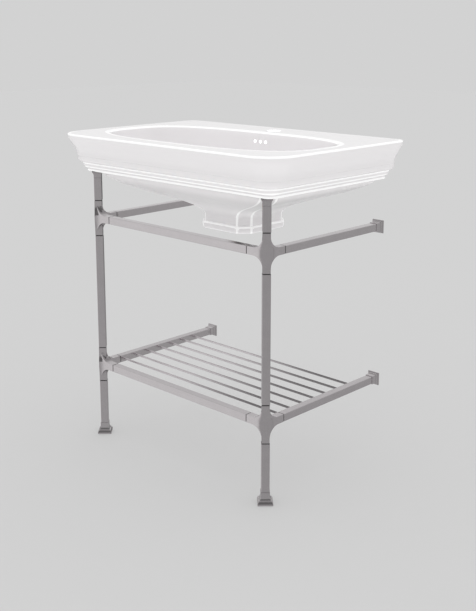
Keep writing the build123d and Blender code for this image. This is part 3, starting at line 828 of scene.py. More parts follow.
    def oval(self, half_x: float, half_y: float, centre_y: float) -> np.ndarray:
        """A superellipse of power 3 about a centre, in the same directions as the rim's points."""
        d = self.ways
        reach = (np.abs(d[:, 0] / half_x) ** 3 + np.abs(d[:, 1] / half_y) ** 3) ** (-1 / 3)
        return d * reach[:, None] + (0.0, centre_y)

    def circle(self, radius: float) -> np.ndarray:
        """A circle about the waste, in the same directions as the rim's points."""
        return self.ways * radius + (0.0, self.waste_y)

    def loop(self, xy: np.ndarray, z: float, mask: float | np.ndarray = 0.0) -> None:
        """Adds one loop at a height, with its marks."""
        self.xy.append(xy)
        self.z.append(z)
        self.mask.append(np.broadcast_to(np.asarray(mask, float), (len(xy),)))

    def between(self, start: np.ndarray, end: np.ndarray, shares: Sequence[float], z: float) -> None:
        """Adds level loops at shares of the way from one loop to another."""
        for share in shares:
            self.loop(start + (end - start) * share, z)

    def bowl_loops(self, grow: float, turns: np.ndarray) -> None:
        """The bowl's wall: its half sizes and centre fall to the floor's as cos(t) ^ 1.18.

        Its depth runs as sin(t) ^ 0.833, so that the wall is upright at the lip and lies flat at the
        floor.

        Args:
            grow: how far the surface lies outside the bowl.
            turns: the parameter t of each loop.
        """
        narrowing, deepening = 1.18, 0.833
        top = self.rim - self.lip
        for t in turns:
            shape = max(math.cos(t), 0.0) ** narrowing
            half = [low + (high - low) * shape + grow for low, high in zip(self.floor_half, self.bowl_half)]
            centre = self.floor_y + (self.bowl_y - self.floor_y) * shape
            level = math.sin(t) ** deepening
            self.loop(self.oval(*half, centre), top - (top - self.floor_z + grow) * level)

    def inside(self) -> None:
        """From the bottom of the waste hole up the bowl's wall to its lip, a quarter circle."""
        for radius, z in self.waste_hole:
            self.loop(self.circle(radius), z)
        floor = self.oval(*self.floor_half, self.floor_y)
        self.between(self.circle(33.0), floor, np.linspace(0, 1, 7)[:-1], self.floor_z)
        self.bowl_loops(0.0, np.linspace(0.0, QUARTER, 34)[::-1])
        for t in np.radians(np.linspace(0, 90, 9))[1:]:
            roll = self.oval(*(h + self.lip * (1 - math.cos(t)) for h in self.bowl_half), self.bowl_y)
            self.loop(roll, self.rim - self.lip + self.lip * math.sin(t), float(t > 0.8))

    def deck(self) -> None:
        """The flat deck, from the bowl's lip out to the rim's roll, a quarter circle."""
        roll, (front, back) = self.roll, self.corners
        lip, rim = self.xy[-1], self.plan(roll, roll, front - roll, back - roll)
        way = (rim - lip) / np.linalg.norm(rim - lip, axis=1, keepdims=True)
        near, far = lip + way * 1.5, rim - way
        self.loop(near, self.rim, 1.0)
        self.between(near, far, (0.08, 0.16, 0.26, 0.38, 0.5, 0.62, 0.74, 0.84, 0.92, 1.0), self.rim)
        for t in np.radians(np.linspace(0, 90, 6)):
            inset = roll * (1 - math.sin(t))
            self.loop(self.plan(inset, inset, front - inset, back - inset),
                      self.rim - roll * (1 - math.cos(t)), float(0.3 < t < 1.2))

    def stage(self, inset: float, drop: float, mask: float = 0.0, back: float = 0.0) -> None:
        """One loop of the fascia: its corner radii shrink in step with the inset."""
        radii = (r - loss * (inset / self.foot_inset) for r, loss in zip(self.corners, self.corner_loss))
        self.loop(self.plan(inset, back, *radii), self.rim - drop, mask)

    def stages(self, rows: Rows) -> None:
        """Loops of the fascia from a table."""
        for row in rows:
            self.stage(*row)

    def quarter(self, rounding: Rows, t: float, least: float = 0.0, mask: float = 0.0) -> None:
        """One loop of a quarter ellipse that starts upright, at the share t of its turn."""
        (inset, drop), (deep, high) = rounding
        turn = QUARTER * t
        self.stage(max(least, inset + deep * (1 - math.cos(turn))), drop + high * math.sin(turn), mask)

    def fascia(self) -> None:
        """The moulding: half a cosine wave, a fillet, two quarter ellipses and a square foot."""
        deep, high = self.wave
        for drop in 3.6 + 52.9 * np.linspace(0, 1, 18):
            self.stage(deep * (1 - math.cos(math.pi * drop / high)) / 2, drop)
        self.stages(self.ledge)
        for t in np.linspace(0, 1, 9):
            self.quarter(self.upper_round, t, least=27.4)
        self.stages(self.nose)
        for t in np.linspace(0.12, 1, 8):
            self.quarter(self.lower_round, t, mask=float(0.6 < t < 0.8))
        self.stages(self.foot)

    def hull_loop(self, u: float, mask: np.ndarray | float, back_cut: float, lift: float = 0.0,
                  highlight_or_inset: float = 0.0) -> None:
        """One loop of the hull, spread by half a cosine wave from the neck to the ledge.

        Args:
            u: 0 at the neck and 1 at the ledge.
            mask: the loop's marks.
            back_cut: how far it is cut back at the wall.
            lift: how far it is raised, for the inner wall.
            highlight_or_inset: how far it lies inside the hull, for the inner wall.
        """
        spread = (1 - math.cos(math.pi * u)) / 2
        half, front, back = (self.neck_half + more * spread - highlight_or_inset for more in self.hull_spread)
        z = self.neck_z + self.hull_height * u + lift
        self.loop(self.octagon(half, front, back - back_cut), z, mask)

    def hull(self) -> None:
        """The hull under the ledge, the neck, its ring, and back up inside the hollow."""
        cant = self.cant_mask()
        self.hull_loop(1.0, 0.0, 2.2)
        for u in np.linspace(0.985, 0.0, 30):
            self.hull_loop(u, cant, 2.2 * max(0.0, (u - 0.9) / 0.1))
        for half, z, mark in self.ring:
            self.ring_loop(half, z, np.maximum(cant, mark))
        half, z, roll = self.ring_round
        for t in np.linspace(0, 1, 8):
            self.ring_loop(half - roll * (1 - math.cos(QUARTER * t)), z - roll * math.sin(QUARTER * t),
                           np.maximum(cant, float(t > 0.6)))
        for half, z, mark in self.mouth:
            self.ring_loop(half, z, mark)
        for u in np.linspace(0.0, 1.0, 16):
            self.hull_loop(u, 0.0, 2.5 * u, self.shell, 11.0)

    def ring_loop(self, half: float, z: float, mask: np.ndarray | float) -> None:
        """One loop of the neck or its ring."""
        self.loop(self.octagon(half, half, half), z, mask)

    def hollow(self) -> None:
        """Inside the fascia, under the deck, down the bowl's outside and the waste boss."""
        inset, low, high = 66.0, 783.0, 78.0
        for share in (0.0, 0.25, 0.5, 0.75, 1.0):
            corner = 22.0 + 58.0 * share, 5.0 + 10.0 * share
            self.loop(self.plan(inset - 54.0 * share, self.shell, *corner), low + high * share)
        top = self.oval(*(h + self.shell for h in self.bowl_half), self.bowl_y)
        self.between(self.xy[-1], top, (0.3, 0.6, 0.9), low + high)
        self.bowl_loops(self.shell, np.linspace(math.asin(0.049 ** 1.2), QUARTER, 24))
        boss = self.circle(38.0)
        self.between(self.xy[-1], boss, (0.3, 0.65, 1.0), self.floor_z - self.shell)
        self.loop(boss, 691.0)
        self.loop(self.circle(37.0), 690.0)

    def nearness(self, points: np.ndarray, marks: np.ndarray) -> np.ndarray:
        """How near each point is to a marked one, as 1 on it and 0 from REACH away.

        The distance is measured along the grid both ways. On the flat deck, where the painted highlight
        bands are made wider, only a share of the length counts.

        Args:
            points: the grid, of shape (loops, points, 3).
            marks: values over 0.5 on the arrises.

        Returns:
            The painted highlight values, of shape (loops, points).
        """
        marked, count = marks > 0.5, points.shape[1]
        thrice = [np.concatenate([one] * 3, 1).swapaxes(0, 1) for one in (points, marked)]
        around = run_to_mark(*thrice)[count:2 * count].T
        flat = points[:, :, 2].min(1) > self.rim - 0.1
        share = np.where(flat[1:] & flat[:-1], self.deck_share, 1.0)[:, None]
        nearest = np.minimum(run_to_mark(points, marked, share), around)
        return np.clip(1.0 - nearest / REACH, 0.0, 1.0)

    def cutters(self) -> Object:
        """One object that cuts the tap hole, three overflow holes and two wall-fixing holes."""
        turn = np.radians(np.linspace(0, 90, 7))
        tap, roll = 17.5, 2.8
        tap_r = np.concatenate([[tap], tap + roll * (1 - np.cos(turn)), [tap + roll]])
        tap_z = np.concatenate([[850.0], self.rim - roll + roll * np.sin(turn), [880.0]])
        cut = Shape().skin(raised(circle_loops(tap_r, 56) + (0.0, 192.0), tap_z))
        flow = Shape().skin(raised(circle_loops([4.7, 4.7, 4.5, 4.3, 4.2, 4.2], 32),
                                   [100.0, 135.4, 135.9, 136.7, 137.8, 149.0]))
        hole = Shape().skin(raised(circle_loops([7.0, 7.0, 8.2, 8.2], 32), [236.0, 258.8, 260.0, 266.0]))
        for drill, z, places in ((flow, 849.0, (-19.5, 0.0, 19.5)), (hole, 815.0, (-140.0, 140.0))):
            for x in places:
                cut.join(drill.placed(Way.TO_WALL, x, 0.0, z))
        # the cutter's material passes to the holes' walls: a glowing white, painted light inside the holes
        return make_object("basin_cutters", cut, self.finishes.ceramic_hole_glow.material)

    def duct(self) -> Shape:
        """The overflow duct behind the bowl, upright and then along to the waste."""
        duct = Shape()
        flat = square_loops(np.array([20.4, 21.0, 21.0, 20.4]), 3.0)
        for deep, y, *tops in ((10.0, 160.2, 860.0, 860.9), (31.0, 118.5, 730.0, 731.0)):
            duct.skin(raised(flat * (1.0, deep / 21.0) + (0.0, y), [703.0, 704.0, *tops]))
        return duct

    def build(self) -> None:
        """Makes the basin, cuts its holes, and adds the overflow duct."""
        for part in (self.inside, self.deck, self.fascia, self.hull, self.hollow):
            part()
        ceramic = self.finishes.ceramic.material
        loops = raised(np.stack(self.xy), self.z)
        near = self.nearness(loops, np.stack(self.mask))
        raw = make_object("basin_raw", Shape().skin(loops, ring=True, mask=near), ceramic)
        cutter = self.cutters()
        options(raw.modifiers.new("holes", "BOOLEAN"), operation="DIFFERENCE", solver="EXACT",
                material_mode="TRANSFER", object=cutter)
        graph = bpy.context.evaluated_depsgraph_get()
        mesh = bpy.data.meshes.new_from_object(raw.evaluated_get(graph), preserve_all_data_layers=True,
                                               depsgraph=graph)
        for old in (raw, cutter):
            bpy.data.objects.remove(old)
        basin = commit(dress("basin_ceramic", mesh, ceramic, 34.0), BODY, "ceramic", "basin")
        basin.visible_glossy = False
        commit(make_object("basin_overflow_duct", self.duct(), ceramic), BODY, "ceramic")


# ----- The washstand -----


@dataclass
class SquareTube:
    """A square tube with rounded long edges and a shadow gap at chosen ends, darkened as painted shade."""

    size: float
    wall: float
    edge: float
    gap: float = 2.2
    gap_depth: float = 0.9
    inner_edge: float = 0.25

    def end(self, gapped: bool) -> np.ndarray:
        """Rows of height, half width and painted shade at the lower end, stepped in for a gap or rounded.
        """
        half, gap = self.size / 2, self.gap
        deep = half - min(self.gap_depth, self.wall - 0.25)
        if gapped:
            return np.array([(0, deep, 1), (gap, deep, 1), (gap + 0.05, half - 0.35, 0.2),
                             (gap + 0.35, half, 0)])
        return np.array([(0, half - 0.5, 0), (0.15, half - 0.15, 0), (0.4, half, 0), (0.6, half, 0)])

    def shape(self, length: float, gap_low: bool = True, gap_high: bool = True) -> Shape:
        """The tube along its own upward axis from 0 to length, open at both ends.

        The outside runs up and the inside runs back down as one ring of loops. At an end with a gap
        the wall steps in and is marked for painted shade, so that the joint shows as a dark line.

        Args:
            length: the tube's length.
            gap_low: whether there is a gap at 0.
            gap_high: whether there is a gap at the other end.

        Returns:
            The tube.
        """
        inner = self.size / 2 - self.wall
        high = self.end(gap_high)[::-1] * (-1, 1, 1) + (length, 0, 0)
        inside = [(length, inner, gap_high), (0.0, inner, gap_low)]
        z, half, painted_shade = np.concatenate([self.end(gap_low), high, inside]).T
        edge = np.where(half > inner + 0.01, self.edge, self.inner_edge)
        return Shape().skin(raised(square_loops(half, edge), z), ring=True, mask=painted_shade[:, None])


@dataclass
class Ogee:
    """The moulding of the feet and wall roses: square plinth, inward bevel, concave flare, collar.

    The plinth's, bevel's and flare's upper ends are shares of the height.
    """

    size: float
    neck: float
    height: float
    plinth: float = 0.13
    bevel: float = 0.31
    bevel_inset: float = 2.6
    flare: float = 0.72
    edge: float = 0.7
    soft: float = 0.55

    def shape(self, inside: Sequence[Place]) -> Shape:
        """The moulding as a ring of loops; the flare is a quarter ellipse.

        Args:
            inside: the hollow's corners from the top down as (half width, height, corner radius).

        Returns:
            The moulding, standing on 0.
        """
        near, outer, half = 0.6, self.size / 2, self.neck / 2
        inner, turn = outer - self.bevel_inset, np.linspace(0, QUARTER, 13)[1:]
        flare = np.stack([inner - (inner - half) * np.sin(turn), self.height * (
            self.bevel + (self.flare - self.bevel) * (1 - np.cos(turn)))], -1)
        hollow = np.array(inside)
        corners = [(outer, 0.0), (outer, self.plinth * self.height), (inner, self.bevel * self.height),
                   *flare, (half, self.height), *hollow[:, :2]]
        outline = soft_profile(corners, self.soft, ring=True)
        r, z = outline.T
        beside = np.abs(r[:, None] - hollow[:, 0]) < near
        within = beside.any(1) & ((r < half - near) | (z < 0.4))
        edge = np.where(within, hollow[beside.argmax(1), 2], self.edge)
        return Shape().skin(raised(square_loops(r, edge, 6), z), ring=True)


@dataclass
class Cove:
    """The hollow fillet where a cross casting's plate meets an arm, about the casting's centre.

    In plan it is a parabola tangent to the plate's side and to the arm's face. It reaches 10 mm, or
    less where the plate's side or the arm's flare leaves less at that height. The plate's half width
    and the flare are circle arcs over the height.
    """

    height: float = 33.0
    reach: float = 10.0
    plate_arc: float = 91.17
    plate_ends: tuple[float, float] = (9.0, 41.0)
    plate_neck: float = 9.7
    plate_flat: float = 14.14
    plate_side: float = 9.3
    arm_arc: float = 33.0
    arm_centre: tuple[float, float] = (36.0, 43.0)

    def shape(self, hand: float) -> Shape:
        """The fillet.

        Args:
            hand: -1 for the arm along the wall, 1 for the arm towards it.

        Returns:
            A closed skin that ends a little inside the plate and the arm.
        """
        z = np.linspace(-self.height, self.height, 67)
        high = np.abs(z)
        below = self.plate_ends[1] - np.clip(high, *self.plate_ends)
        half = self.plate_neck + self.plate_arc - np.sqrt(self.plate_arc ** 2 - below ** 2)
        corner = np.stack([self.plate_flat - half, -half], -1)
        across, up = self.arm_centre
        arc = np.sqrt(np.maximum(self.arm_arc ** 2 - (up - high) ** 2, 0.0)) - across
        room = corner.sum(-1) * HALF_ROOT - np.where(high > 10.0, arc, -55.0) - 0.5
        reach = np.clip(np.minimum(room, self.plate_side - corner[:, 0]), 0.05, self.reach)[:, None]
        side, arm = corner + reach * (1.0, 0.0), corner - reach * HALF_ROOT
        t = np.linspace(0.0, 1.0, 10)[None, :, None]
        curve = (1 - t) ** 2 * side[:, None] + 2 * t * (1 - t) * corner[:, None] + t ** 2 * arm[:, None]
        back = np.stack([arm + (-0.7, 0.7), corner + (-0.4, 1.0), side + (0.0, 1.0)], 1)
        return Shape().skin(raised(np.concatenate([curve, back], 1) * (1.0, -hand), z))


@dataclass
class Washstand(Assembly):
    """The polished stand: legs in three lengths, four cross castings, rails, shelf and wall ends."""

    leg_x: float = 316.0
    leg_y: float = -184.0
    leg_size: float = 21.0
    rail_size: float = 20.0
    wall: float = 260.0
    rails: tuple[float, float] = (638.0, 211.0)
    collar: float = 48.5
    arm: float = 55.0
    cap_seam: float = 751.5
    cap_top: float = 769.0
    rods: int = 7
    rod_radius: float = 3.0
    rod_first: float = 68.0
    rod_pitch: float = 47.5

    def at_leg(self, shape: Shape, z: float, sign: float) -> Shape:
        """A shape set square to the leg on one side."""
        return shape.placed(Way.DIAGONAL, self.leg_x, self.leg_y, z).on_side(sign)

    def legs(self) -> None:
        """The three leg tubes, the cap and the foot of each side."""
        tube, nickel = SquareTube(self.leg_size, 1.5, 1.2), self.finishes.nickel
        upper, lower = self.rails
        spans = {"upper": (upper + self.collar, self.cap_seam, True, False),
                 "middle": (lower + self.collar, upper - self.collar, True, True),
                 "lower": (14.0, lower - self.collar, False, True)}
        for side, sign in SIDES.items():
            for name, (low, high, gap_low, gap_high) in spans.items():
                shape = tube.shape(high - low, gap_low, gap_high)
                self.piece(f"leg_tube_{name}_{side}", "polished", self.at_leg(shape, low, sign),
                           nickel[Grain.ALONG_Z])
            for name, shape, z in (("leg_cap", self.cap(), 0.0), ("foot", self.foot(), 1.0)):
                self.piece(f"{name}_{side}", "polished", self.at_leg(shape, z, sign), nickel[Grain.NONE])

    def cap(self) -> Shape:
        """A leg's cap: spigot, collar, concave flare and square plate, closed at both ends."""
        half, plate, spigot, collar_top = self.leg_size / 2, 14.0, 8.9, 756.5
        turn = np.linspace(0, QUARTER, 11)[1:]
        flare = np.stack([half + (plate - half) * (1 - np.cos(turn)), collar_top + 9.0 * np.sin(turn)], -1)
        points = [(spigot, 725.5), (spigot, self.cap_seam), (half, self.cap_seam), (half, collar_top),
                  *flare, (plate, self.cap_top), (1.0, self.cap_top)]
        r, z = soft_profile(points, 0.5).T
        return Shape().skin(raised(square_loops(r, 0.8), z))

    def foot(self) -> Shape:
        """A leg's foot, hollow above for the tube and below for the levelling pad."""
        return Ogee(39.0, 23.4, 32.0).shape([(10.6, 32.0, 0.6), (10.6, 13.0, 0.6), (5.75, 13.0, 5.7),
                                             (5.75, 10.0, 5.7), (14.0, 10.0, 13.9), (14.0, 0.0, 13.9)])

    def castings(self) -> None:
        """The four cross castings, with their edges rounded and the fillets between their parts."""
        cast, coves = self.finishes.cast, Shape()
        for level in ("upper", "lower"):
            for side in SIDES:
                self.edged(f"casting_{level}_{side}", "polished", cast, 0.8, 3)
        for z in self.rails:
            for sign in SIDES.values():
                for hand in (-1.0, 1.0):
                    coves.join(self.at_leg(Cove().shape(hand), z, sign))
        commit(make_object("casting_coves_polished", coves, cast.material, 50.0), BODY, cast.slot)

    def rails_and_ends(self) -> None:
        """Front and side rails, wall sockets and roses."""
        tube, nickel = SquareTube(self.rail_size, 1.2, 1.0), self.finishes.nickel
        end_x, end_y, socket_y = self.leg_x - self.arm, self.leg_y + self.arm, 255.0
        for node, z in zip(("towel_rail", "shelf_front_rail"), self.rails):
            shape = tube.shape(2 * end_x).placed(Way.ALONG_X, -end_x, self.leg_y, z)
            self.piece(node, "polished", shape, nickel[Grain.ALONG_X])
        rail = tube.shape(socket_y - end_y, True, False)
        rose = Ogee(35.0, 23.0, 23.0).shape([(10.2, 23.0, 0.4), (10.2, 5.3, 0.4), (15.3, 5.3, 0.4),
                                             (15.3, 0.0, 0.4)])
        for level, z in zip(("upper", "lower"), self.rails):
            for side, sign in SIDES.items():
                end = f"{level}_{side}"
                shape = rail.placed(Way.TO_WALL, self.leg_x, end_y, z).on_side(sign)
                self.piece(f"side_rail_{end}", "polished", shape, nickel[Grain.ALONG_Y])
                shape = rose.placed(Way.FROM_WALL, self.leg_x, self.wall, z).on_side(sign)
                self.piece(f"wall_rose_{end}", "polished", shape, nickel[Grain.NONE])
                self.edged(f"wall_socket_{end}", "zinc", self.finishes.steel, 0.5)

    def shelf(self) -> None:
        """The shelf's round rods, each with a small fillet of solder where it enters a rail."""
        solder = 306.1
        half = np.array([312.0, 306.3, solder, 305.6, 304.9, 303.8])
        radius = np.array([self.rod_radius, self.rod_radius, 4.1, 3.5, 3.15, self.rod_radius])
        x = np.concatenate([-half, half[::-1]])
        loops = raised(circle_loops(np.concatenate([radius, radius[::-1]]), 24), x)
        # the ring where the rod meets the rail is marked for painted shade
        rod = Shape().skin(loops, mask=np.isclose(np.abs(x), solder)[:, None] * 0.9)
        for i in range(self.rods):
            y = self.leg_y + self.rod_first + self.rod_pitch * i
            self.piece(f"shelf_rod_{i + 1}", "polished", rod.placed(Way.ALONG_X, 0.0, y, self.rails[1]),
                       self.finishes.rod)

    def screw(self) -> Shape:
        """A grub screw: its end at 0, with a hexagonal socket whose radius is 1 / cos about each flat."""
        turn = np.arange(24) * 2 * math.pi / 24
        sixth = math.pi / 6
        hexagon = 0.9 / np.cos((turn + sixth) % (2 * sixth) - sixth)
        radius = np.array([[1.6], [1.95], [1.95], [1.75], [1.3], [1.0], [1.0]])
        row = np.arange(len(radius))[:, None]
        r = radius * np.where(row >= 4, hexagon[None], 1.0)
        loops = raised(np.stack([r * np.cos(turn), r * np.sin(turn)], -1),
                       [-5.0, -4.6, -0.25, 0.0, 0.0, -0.12, -1.6])
        # the socket's floor is marked for painted shade
        return Shape().skin(loops, mask=(row >= 6) * 1.0)

    def screws(self) -> None:
        """Every grub screw, as one piece."""
        face, leg, up = self.rail_size / 2 + 0.3, (self.leg_size / 2 + 0.3) * HALF_ROOT, [0.0, 0.0, 1.0]
        x, y, inward = self.leg_x, self.leg_y, (-1.0, 0.0)
        places: list[tuple[float, float, float, tuple[float, float]]] = []
        for z in self.rails:
            places += [(x - self.arm - 5.0, y + face, z, (0.0, 1.0)),
                       (x - face, y + self.arm + 5.0, z, inward)]
            places += [(x - leg, y + leg, z + end * (self.collar + 8.0), (-1.0, 1.0)) for end in (-1, 1)]
            places.append((x - face, self.wall - 29.0, z, inward))
        places.append((x - leg, y + leg, self.cap_seam - 8.0, (-1.0, 1.0)))
        whole, screw = Shape(), self.screw()
        for *place, (dx, dy) in places:
            out = np.array([dx, dy, 0.0]) / math.hypot(dx, dy)
            placed = screw.moved(np.stack([up, np.cross(out, up), out]), *place)
            whole.join(placed).join(placed.on_side(-1.0))
        self.piece("joint_screws", "steel", whole, self.finishes.steel)

    def build(self) -> None:
        """Makes every piece of the stand."""
        for part in (self.legs, self.castings, self.rails_and_ends, self.shelf, self.screws):
            part()


# ----- Levelling feet and the waste -----


@dataclass
class Levelling(Assembly):
    """The stud and glide pad in each foot."""

    x: float = 316.0
    y: float = -184.0
    radius: float = 4.95
    pitch: float = 1.5
    depth: float = 0.75
    span: tuple[float, float] = (4.0, 44.0)

    def stud(self) -> Shape:
        """A threaded stud: the radius falls in a V with height less turn, which winds up as a helix."""
        low, high = self.span
        z = np.linspace(low, high, 241)
        turn = np.arange(32) / 32.0
        phase = (z[:, None] / self.pitch - turn[None]) % 1.0
        ends = np.minimum(smooth(z, low, low + 1.2), smooth(-z, -high, 1.2 - high))[:, None]
        radius = self.radius - self.depth * np.abs(phase * 2 - 1) * ends - 0.5 * (1 - ends)
        angle = turn * 2 * math.pi
        flat = np.stack([radius * np.cos(angle), radius * np.sin(angle)], -1)
        return Shape().skin(raised(flat + (self.x, self.y), z))

    def pad(self) -> Shape:
        """The glide pad: a soft-edged disc with a boss round the stud."""
        points = [(0.4, 0.0), (12.2, 0.0), (13.0, 0.7), (13.0, 3.6), (11.8, 5.0), (8.6, 5.4), (8.0, 6.4),
                  (8.0, 10.0), (5.1, 10.0), (5.1, 4.0), (0.4, 4.0)]
        r, z = soft_profile(points, 0.5).T
        return Shape().skin(raised(circle_loops(r, 48) + (self.x, self.y), z))

    def build(self) -> None:
        """Makes the pieces of both sides."""
        for side, sign in SIDES.items():
            body, stud, pad = f"glide_{side}", self.stud().on_side(sign), self.pad().on_side(sign)
            self.piece(f"levelling_stud_{side}", "threaded", stud, self.finishes.steel, body, 60.0)
            self.piece(f"glide_pad_{side}", "moulded", pad, self.finishes.plastic, body)
            self.edged(f"levelling_nut_{side}", "edged", self.finishes.brass, 0.5)


@dataclass
class Waste(Assembly):
    """The push-button waste in the bowl's floor."""

    y: float = 50.0
    plug_radius: float = 29.0
    plug_top: float = 743.8
    dome: float = 2.4
    coil: float = 4.0
    wire: float = 0.52
    spring_low: float = 692.6
    spring_rise: float = 7.8

    def plug(self) -> Shape:
        """The plug's low dome, its rolled edge, the groove over its seal, and the stem."""
        radius = (self.plug_radius ** 2 + self.dome ** 2) / (2 * self.dome)
        r = np.linspace(0.0, 27.6, 16)[1:]
        dome = np.stack([r, self.plug_top - radius + np.sqrt(radius ** 2 - r ** 2)], -1)
        rest = [(28.5, 741.2), (29.0, 740.5), (29.0, 739.6), (28.4, 738.8), (26.6, 738.8), (26.2, 739.3),
                (21.2, 739.3), (20.8, 738.8), (5.0, 738.8), (5.0, 701.4), (4.6, 701.0), (0.4, 701.0)]
        r, z = np.concatenate([dome, rest]).T
        return Shape().skin(raised(circle_loops(r, 64) + (0.0, self.y), z))

    def spring(self) -> Shape:
        """A coil: a round wire swept along a helix of 5.5 turns that rises slower at its ends."""
        t = np.linspace(0, 1, 181)
        angle, ring = 2 * math.pi * 5.5 * t, (np.arange(10) * 2 * math.pi / 10)[None, :, None]
        height = self.spring_low + self.spring_rise * (0.35 * smooth(t, 0.0, 1.0) + 0.65 * t)
        out = np.stack([np.cos(angle), np.sin(angle), np.zeros_like(angle)], -1)
        centre = self.coil * out + np.stack([0 * t, 0 * t + self.y, height], -1)
        wire = np.cos(ring) * out[:, None] + np.sin(ring) * np.array([0.0, 0.0, 1.0])
        return Shape().skin(centre[:, None] + self.wire * wire)

    def build(self) -> None:
        """Makes the waste's pieces; the spring is a coil set between the body and the plug."""
        nickel = self.finishes.nickel[Grain.NONE]
        self.piece("waste_plug", "domed", self.plug(), nickel, "plug")
        spring = make_object("waste_spring_coil", self.spring(), self.finishes.steel.material)
        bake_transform(spring)
        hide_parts("waste_spring")
        report(spring, f"{BODY} and plug", "waste_spring")
        for node, coat, width in (("flange", nickel, 0.5), ("backnut", self.finishes.brass, 0.8),
                                  ("cartridge", self.finishes.white_plastic, 0.4)):
            self.edged(f"waste_{node}", "edged", coat, width)


# ----- Studio -----


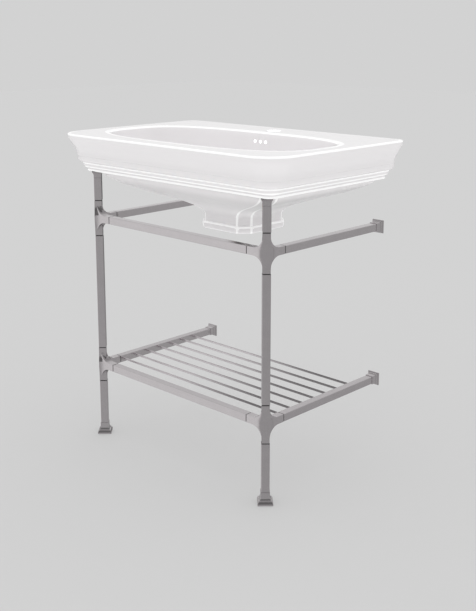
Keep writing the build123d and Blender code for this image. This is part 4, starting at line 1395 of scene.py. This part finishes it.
@dataclass
class Studio:
    """Camera, soft light and floor.

    From `past` on, a row is where in a direction or in height a change starts and ends, and then the
    brightness at its two ends, or at the second only.
    """

    lens: float = 57.55
    shift: float = -0.12
    place: Place = (1.8211, -1.8436, 1.1565)
    tilt: float = 11.82
    azimuth: float = 43.926
    backdrop: float = 0.645
    film: float = 0.594
    film_matt: float = 0.56
    film_glow: float = 0.482
    floor_half: float = 14.0
    lamp_size: float = 5.0
    lift: float = 0.46
    room: tuple[float, float] = (0.14, 1.0)
    sides: Place = (0.345, 0.155, 0.185)
    past: Place = (0.72, 0.94, 0.26)
    zenith: tuple[float, ...] = (0.55, 0.88, 0.56, 0.28)
    horizon: tuple[float, ...] = (0.10, 0.24, 0.25, 0.0)
    fronts: tuple[float, float] = (0.3, 0.6)
    front_above: tuple[float, ...] = (0.42, 0.62, 0.13, 0.30)
    rise: tuple[float, float] = (0.0, 0.12)

    def stand(self, name: str, data: bpy.types.ID) -> Object:
        """Links an object with the given data."""
        obj = bpy.data.objects.new(name, data)
        bpy.context.scene.collection.objects.link(obj)
        return obj

    def camera(self) -> None:
        """The photograph's camera, fitted to its straight edges."""
        data = bpy.data.cameras.new("camera")
        options(data, lens=self.lens, sensor_width=36.0, shift_y=self.shift, clip_start=0.05, clip_end=60.0)
        cam = self.stand("camera", data)
        cam.location = self.place
        cam.rotation_euler = (math.radians(90.0 - self.tilt), 0.0, math.radians(self.azimuth))
        bpy.context.scene.camera = cam

    def floor(self) -> None:
        """A plain pale floor that the metal doesn't mirror."""
        half = self.floor_half
        mesh = bpy.data.meshes.new("floor")
        corners = [(-half, -half, 0), (half, -half, 0), (half, half, 0), (-half, half, 0)]
        mesh.from_pydata(corners, [], [(0, 1, 2, 3)])
        mesh.materials.append(self.floor_film())
        floor = self.stand("floor", mesh)
        floor.visible_glossy = False

    def floor_film(self) -> Material:
        """A matt grey, partly lit from behind like studio film, and clear from below."""
        g, grey = Graph(bpy.data.materials.new("studio_floor")), self.film * self.film_matt
        matt = g.out("ShaderNodeBsdfDiffuse", {"Color": (grey, grey, grey, 1.0)})
        even = g.out("ShaderNodeEmission", {"Color": (1.0,) * 4, "Strength": self.film * self.film_glow})
        film = g.out("ShaderNodeAddShader", {0: matt, 1: even})
        under = g.out("ShaderNodeNewGeometry", {}, "Backfacing")
        clear = g.out("ShaderNodeBsdfTransparent", {})
        g.add("ShaderNodeOutputMaterial", {0: g.out("ShaderNodeMixShader", {0: under, 1: film, 2: clear})})
        return g.owner

    def lights(self) -> None:
        """A broad light on the floor that lifts the underside."""
        data = bpy.data.lights.new("underlight", "AREA")
        options(data, shape="SQUARE", size=self.lamp_size, spread=QUARTER,
                energy=self.lift * math.pi * self.lamp_size ** 2)
        options(self.stand("underlight", data), location=(0.0, 0.0, 0.0015),
                rotation_euler=(math.pi, 0.0, 0.0), visible_camera=False, visible_glossy=False,
                visible_transmission=False)

    def surroundings(self) -> None:
        """An even white room for diffuse light, a flat backdrop for the camera, and a studio to mirror.

        Level with the object, what the metal mirrors is bright at the front left, mid grey at the
        front right and dark at the back right: 0.345 + 0.155 t + 0.185 t squared, where t is the
        direction's share towards the front left. At the back left it is dimmer by `past`, which
        draws the edges. Above the horizon it goes by height alone: bright just over the horizon and
        dim straight up, but at the front right dim low down and brighter above.
        """
        world = bpy.data.worlds.new("studio")
        bpy.context.scene.world = world
        g = Graph(world)
        way = g.out("ShaderNodeTexCoord", {}, "Generated")
        z = g.out("ShaderNodeSeparateXYZ", {0: way}, "Z")
        level, slope, bend = self.sides
        start, end, dim = self.past
        t = g.toward(way, FRONT_LEFT)
        side = g.maths("MULTIPLY_ADD", g.maths("MULTIPLY_ADD", t, bend, slope), t, level)
        side = g.maths("MULTIPLY", side, g.remap(g.toward(way, BACK_LEFT), start, end, 1.0, dim))
        above = g.maths("ADD", g.remap(z, *self.zenith), g.remap(z, *self.horizon))
        front = g.remap(g.toward(way, FRONT_RIGHT), *self.fronts)
        above = g.mixed(front, above, g.remap(z, *self.front_above))
        mirrored = g.mixed(g.remap(z, *self.rise), side, above)
        ray = g.add("ShaderNodeLightPath").outputs
        soft = g.maths("MULTIPLY_ADD", g.maths("MAXIMUM", z, 0.0), *self.room)
        seen = g.mixed(ray["Is Camera Ray"], g.mixed(ray["Is Glossy Ray"], soft, mirrored), self.backdrop)
        back = g.out("ShaderNodeBackground", {"Color": (1.0,) * 4, "Strength": seen})
        g.add("ShaderNodeOutputWorld", {0: back})

    def build(self) -> None:
        """Makes the studio."""
        self.camera()
        self.floor()
        self.lights()
        self.surroundings()
        bpy.context.scene.view_settings.view_transform = "Standard"


def dress_cad(frame: dict, finishes: Finishes) -> None:
    """Gives every CAD node its finish by the record's material slots; replaced nodes don't show.

    Args:
        finishes: the materials.
    """
    slots = finishes.by_slot()
    for part in frame["record"]["subparts"]:
        obj = frame["nodes"][part["node"]]
        for slot in obj.material_slots:
            slot.material = slots[part["material_slot"]]
        log.info("CAD node %s finished as %s", part["node"], part["material_slot"])


def main() -> None:
    """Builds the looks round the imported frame."""
    logging.basicConfig(level=logging.INFO, format="%(message)s")
    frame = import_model()
    finishes = Finishes()
    dress_cad(frame, finishes)
    Studio().build()
    for assembly in (Basin, Washstand, Levelling, Waste):
        assembly(finishes, frame["nodes"]).build()


if __name__ == "__main__":
    main()
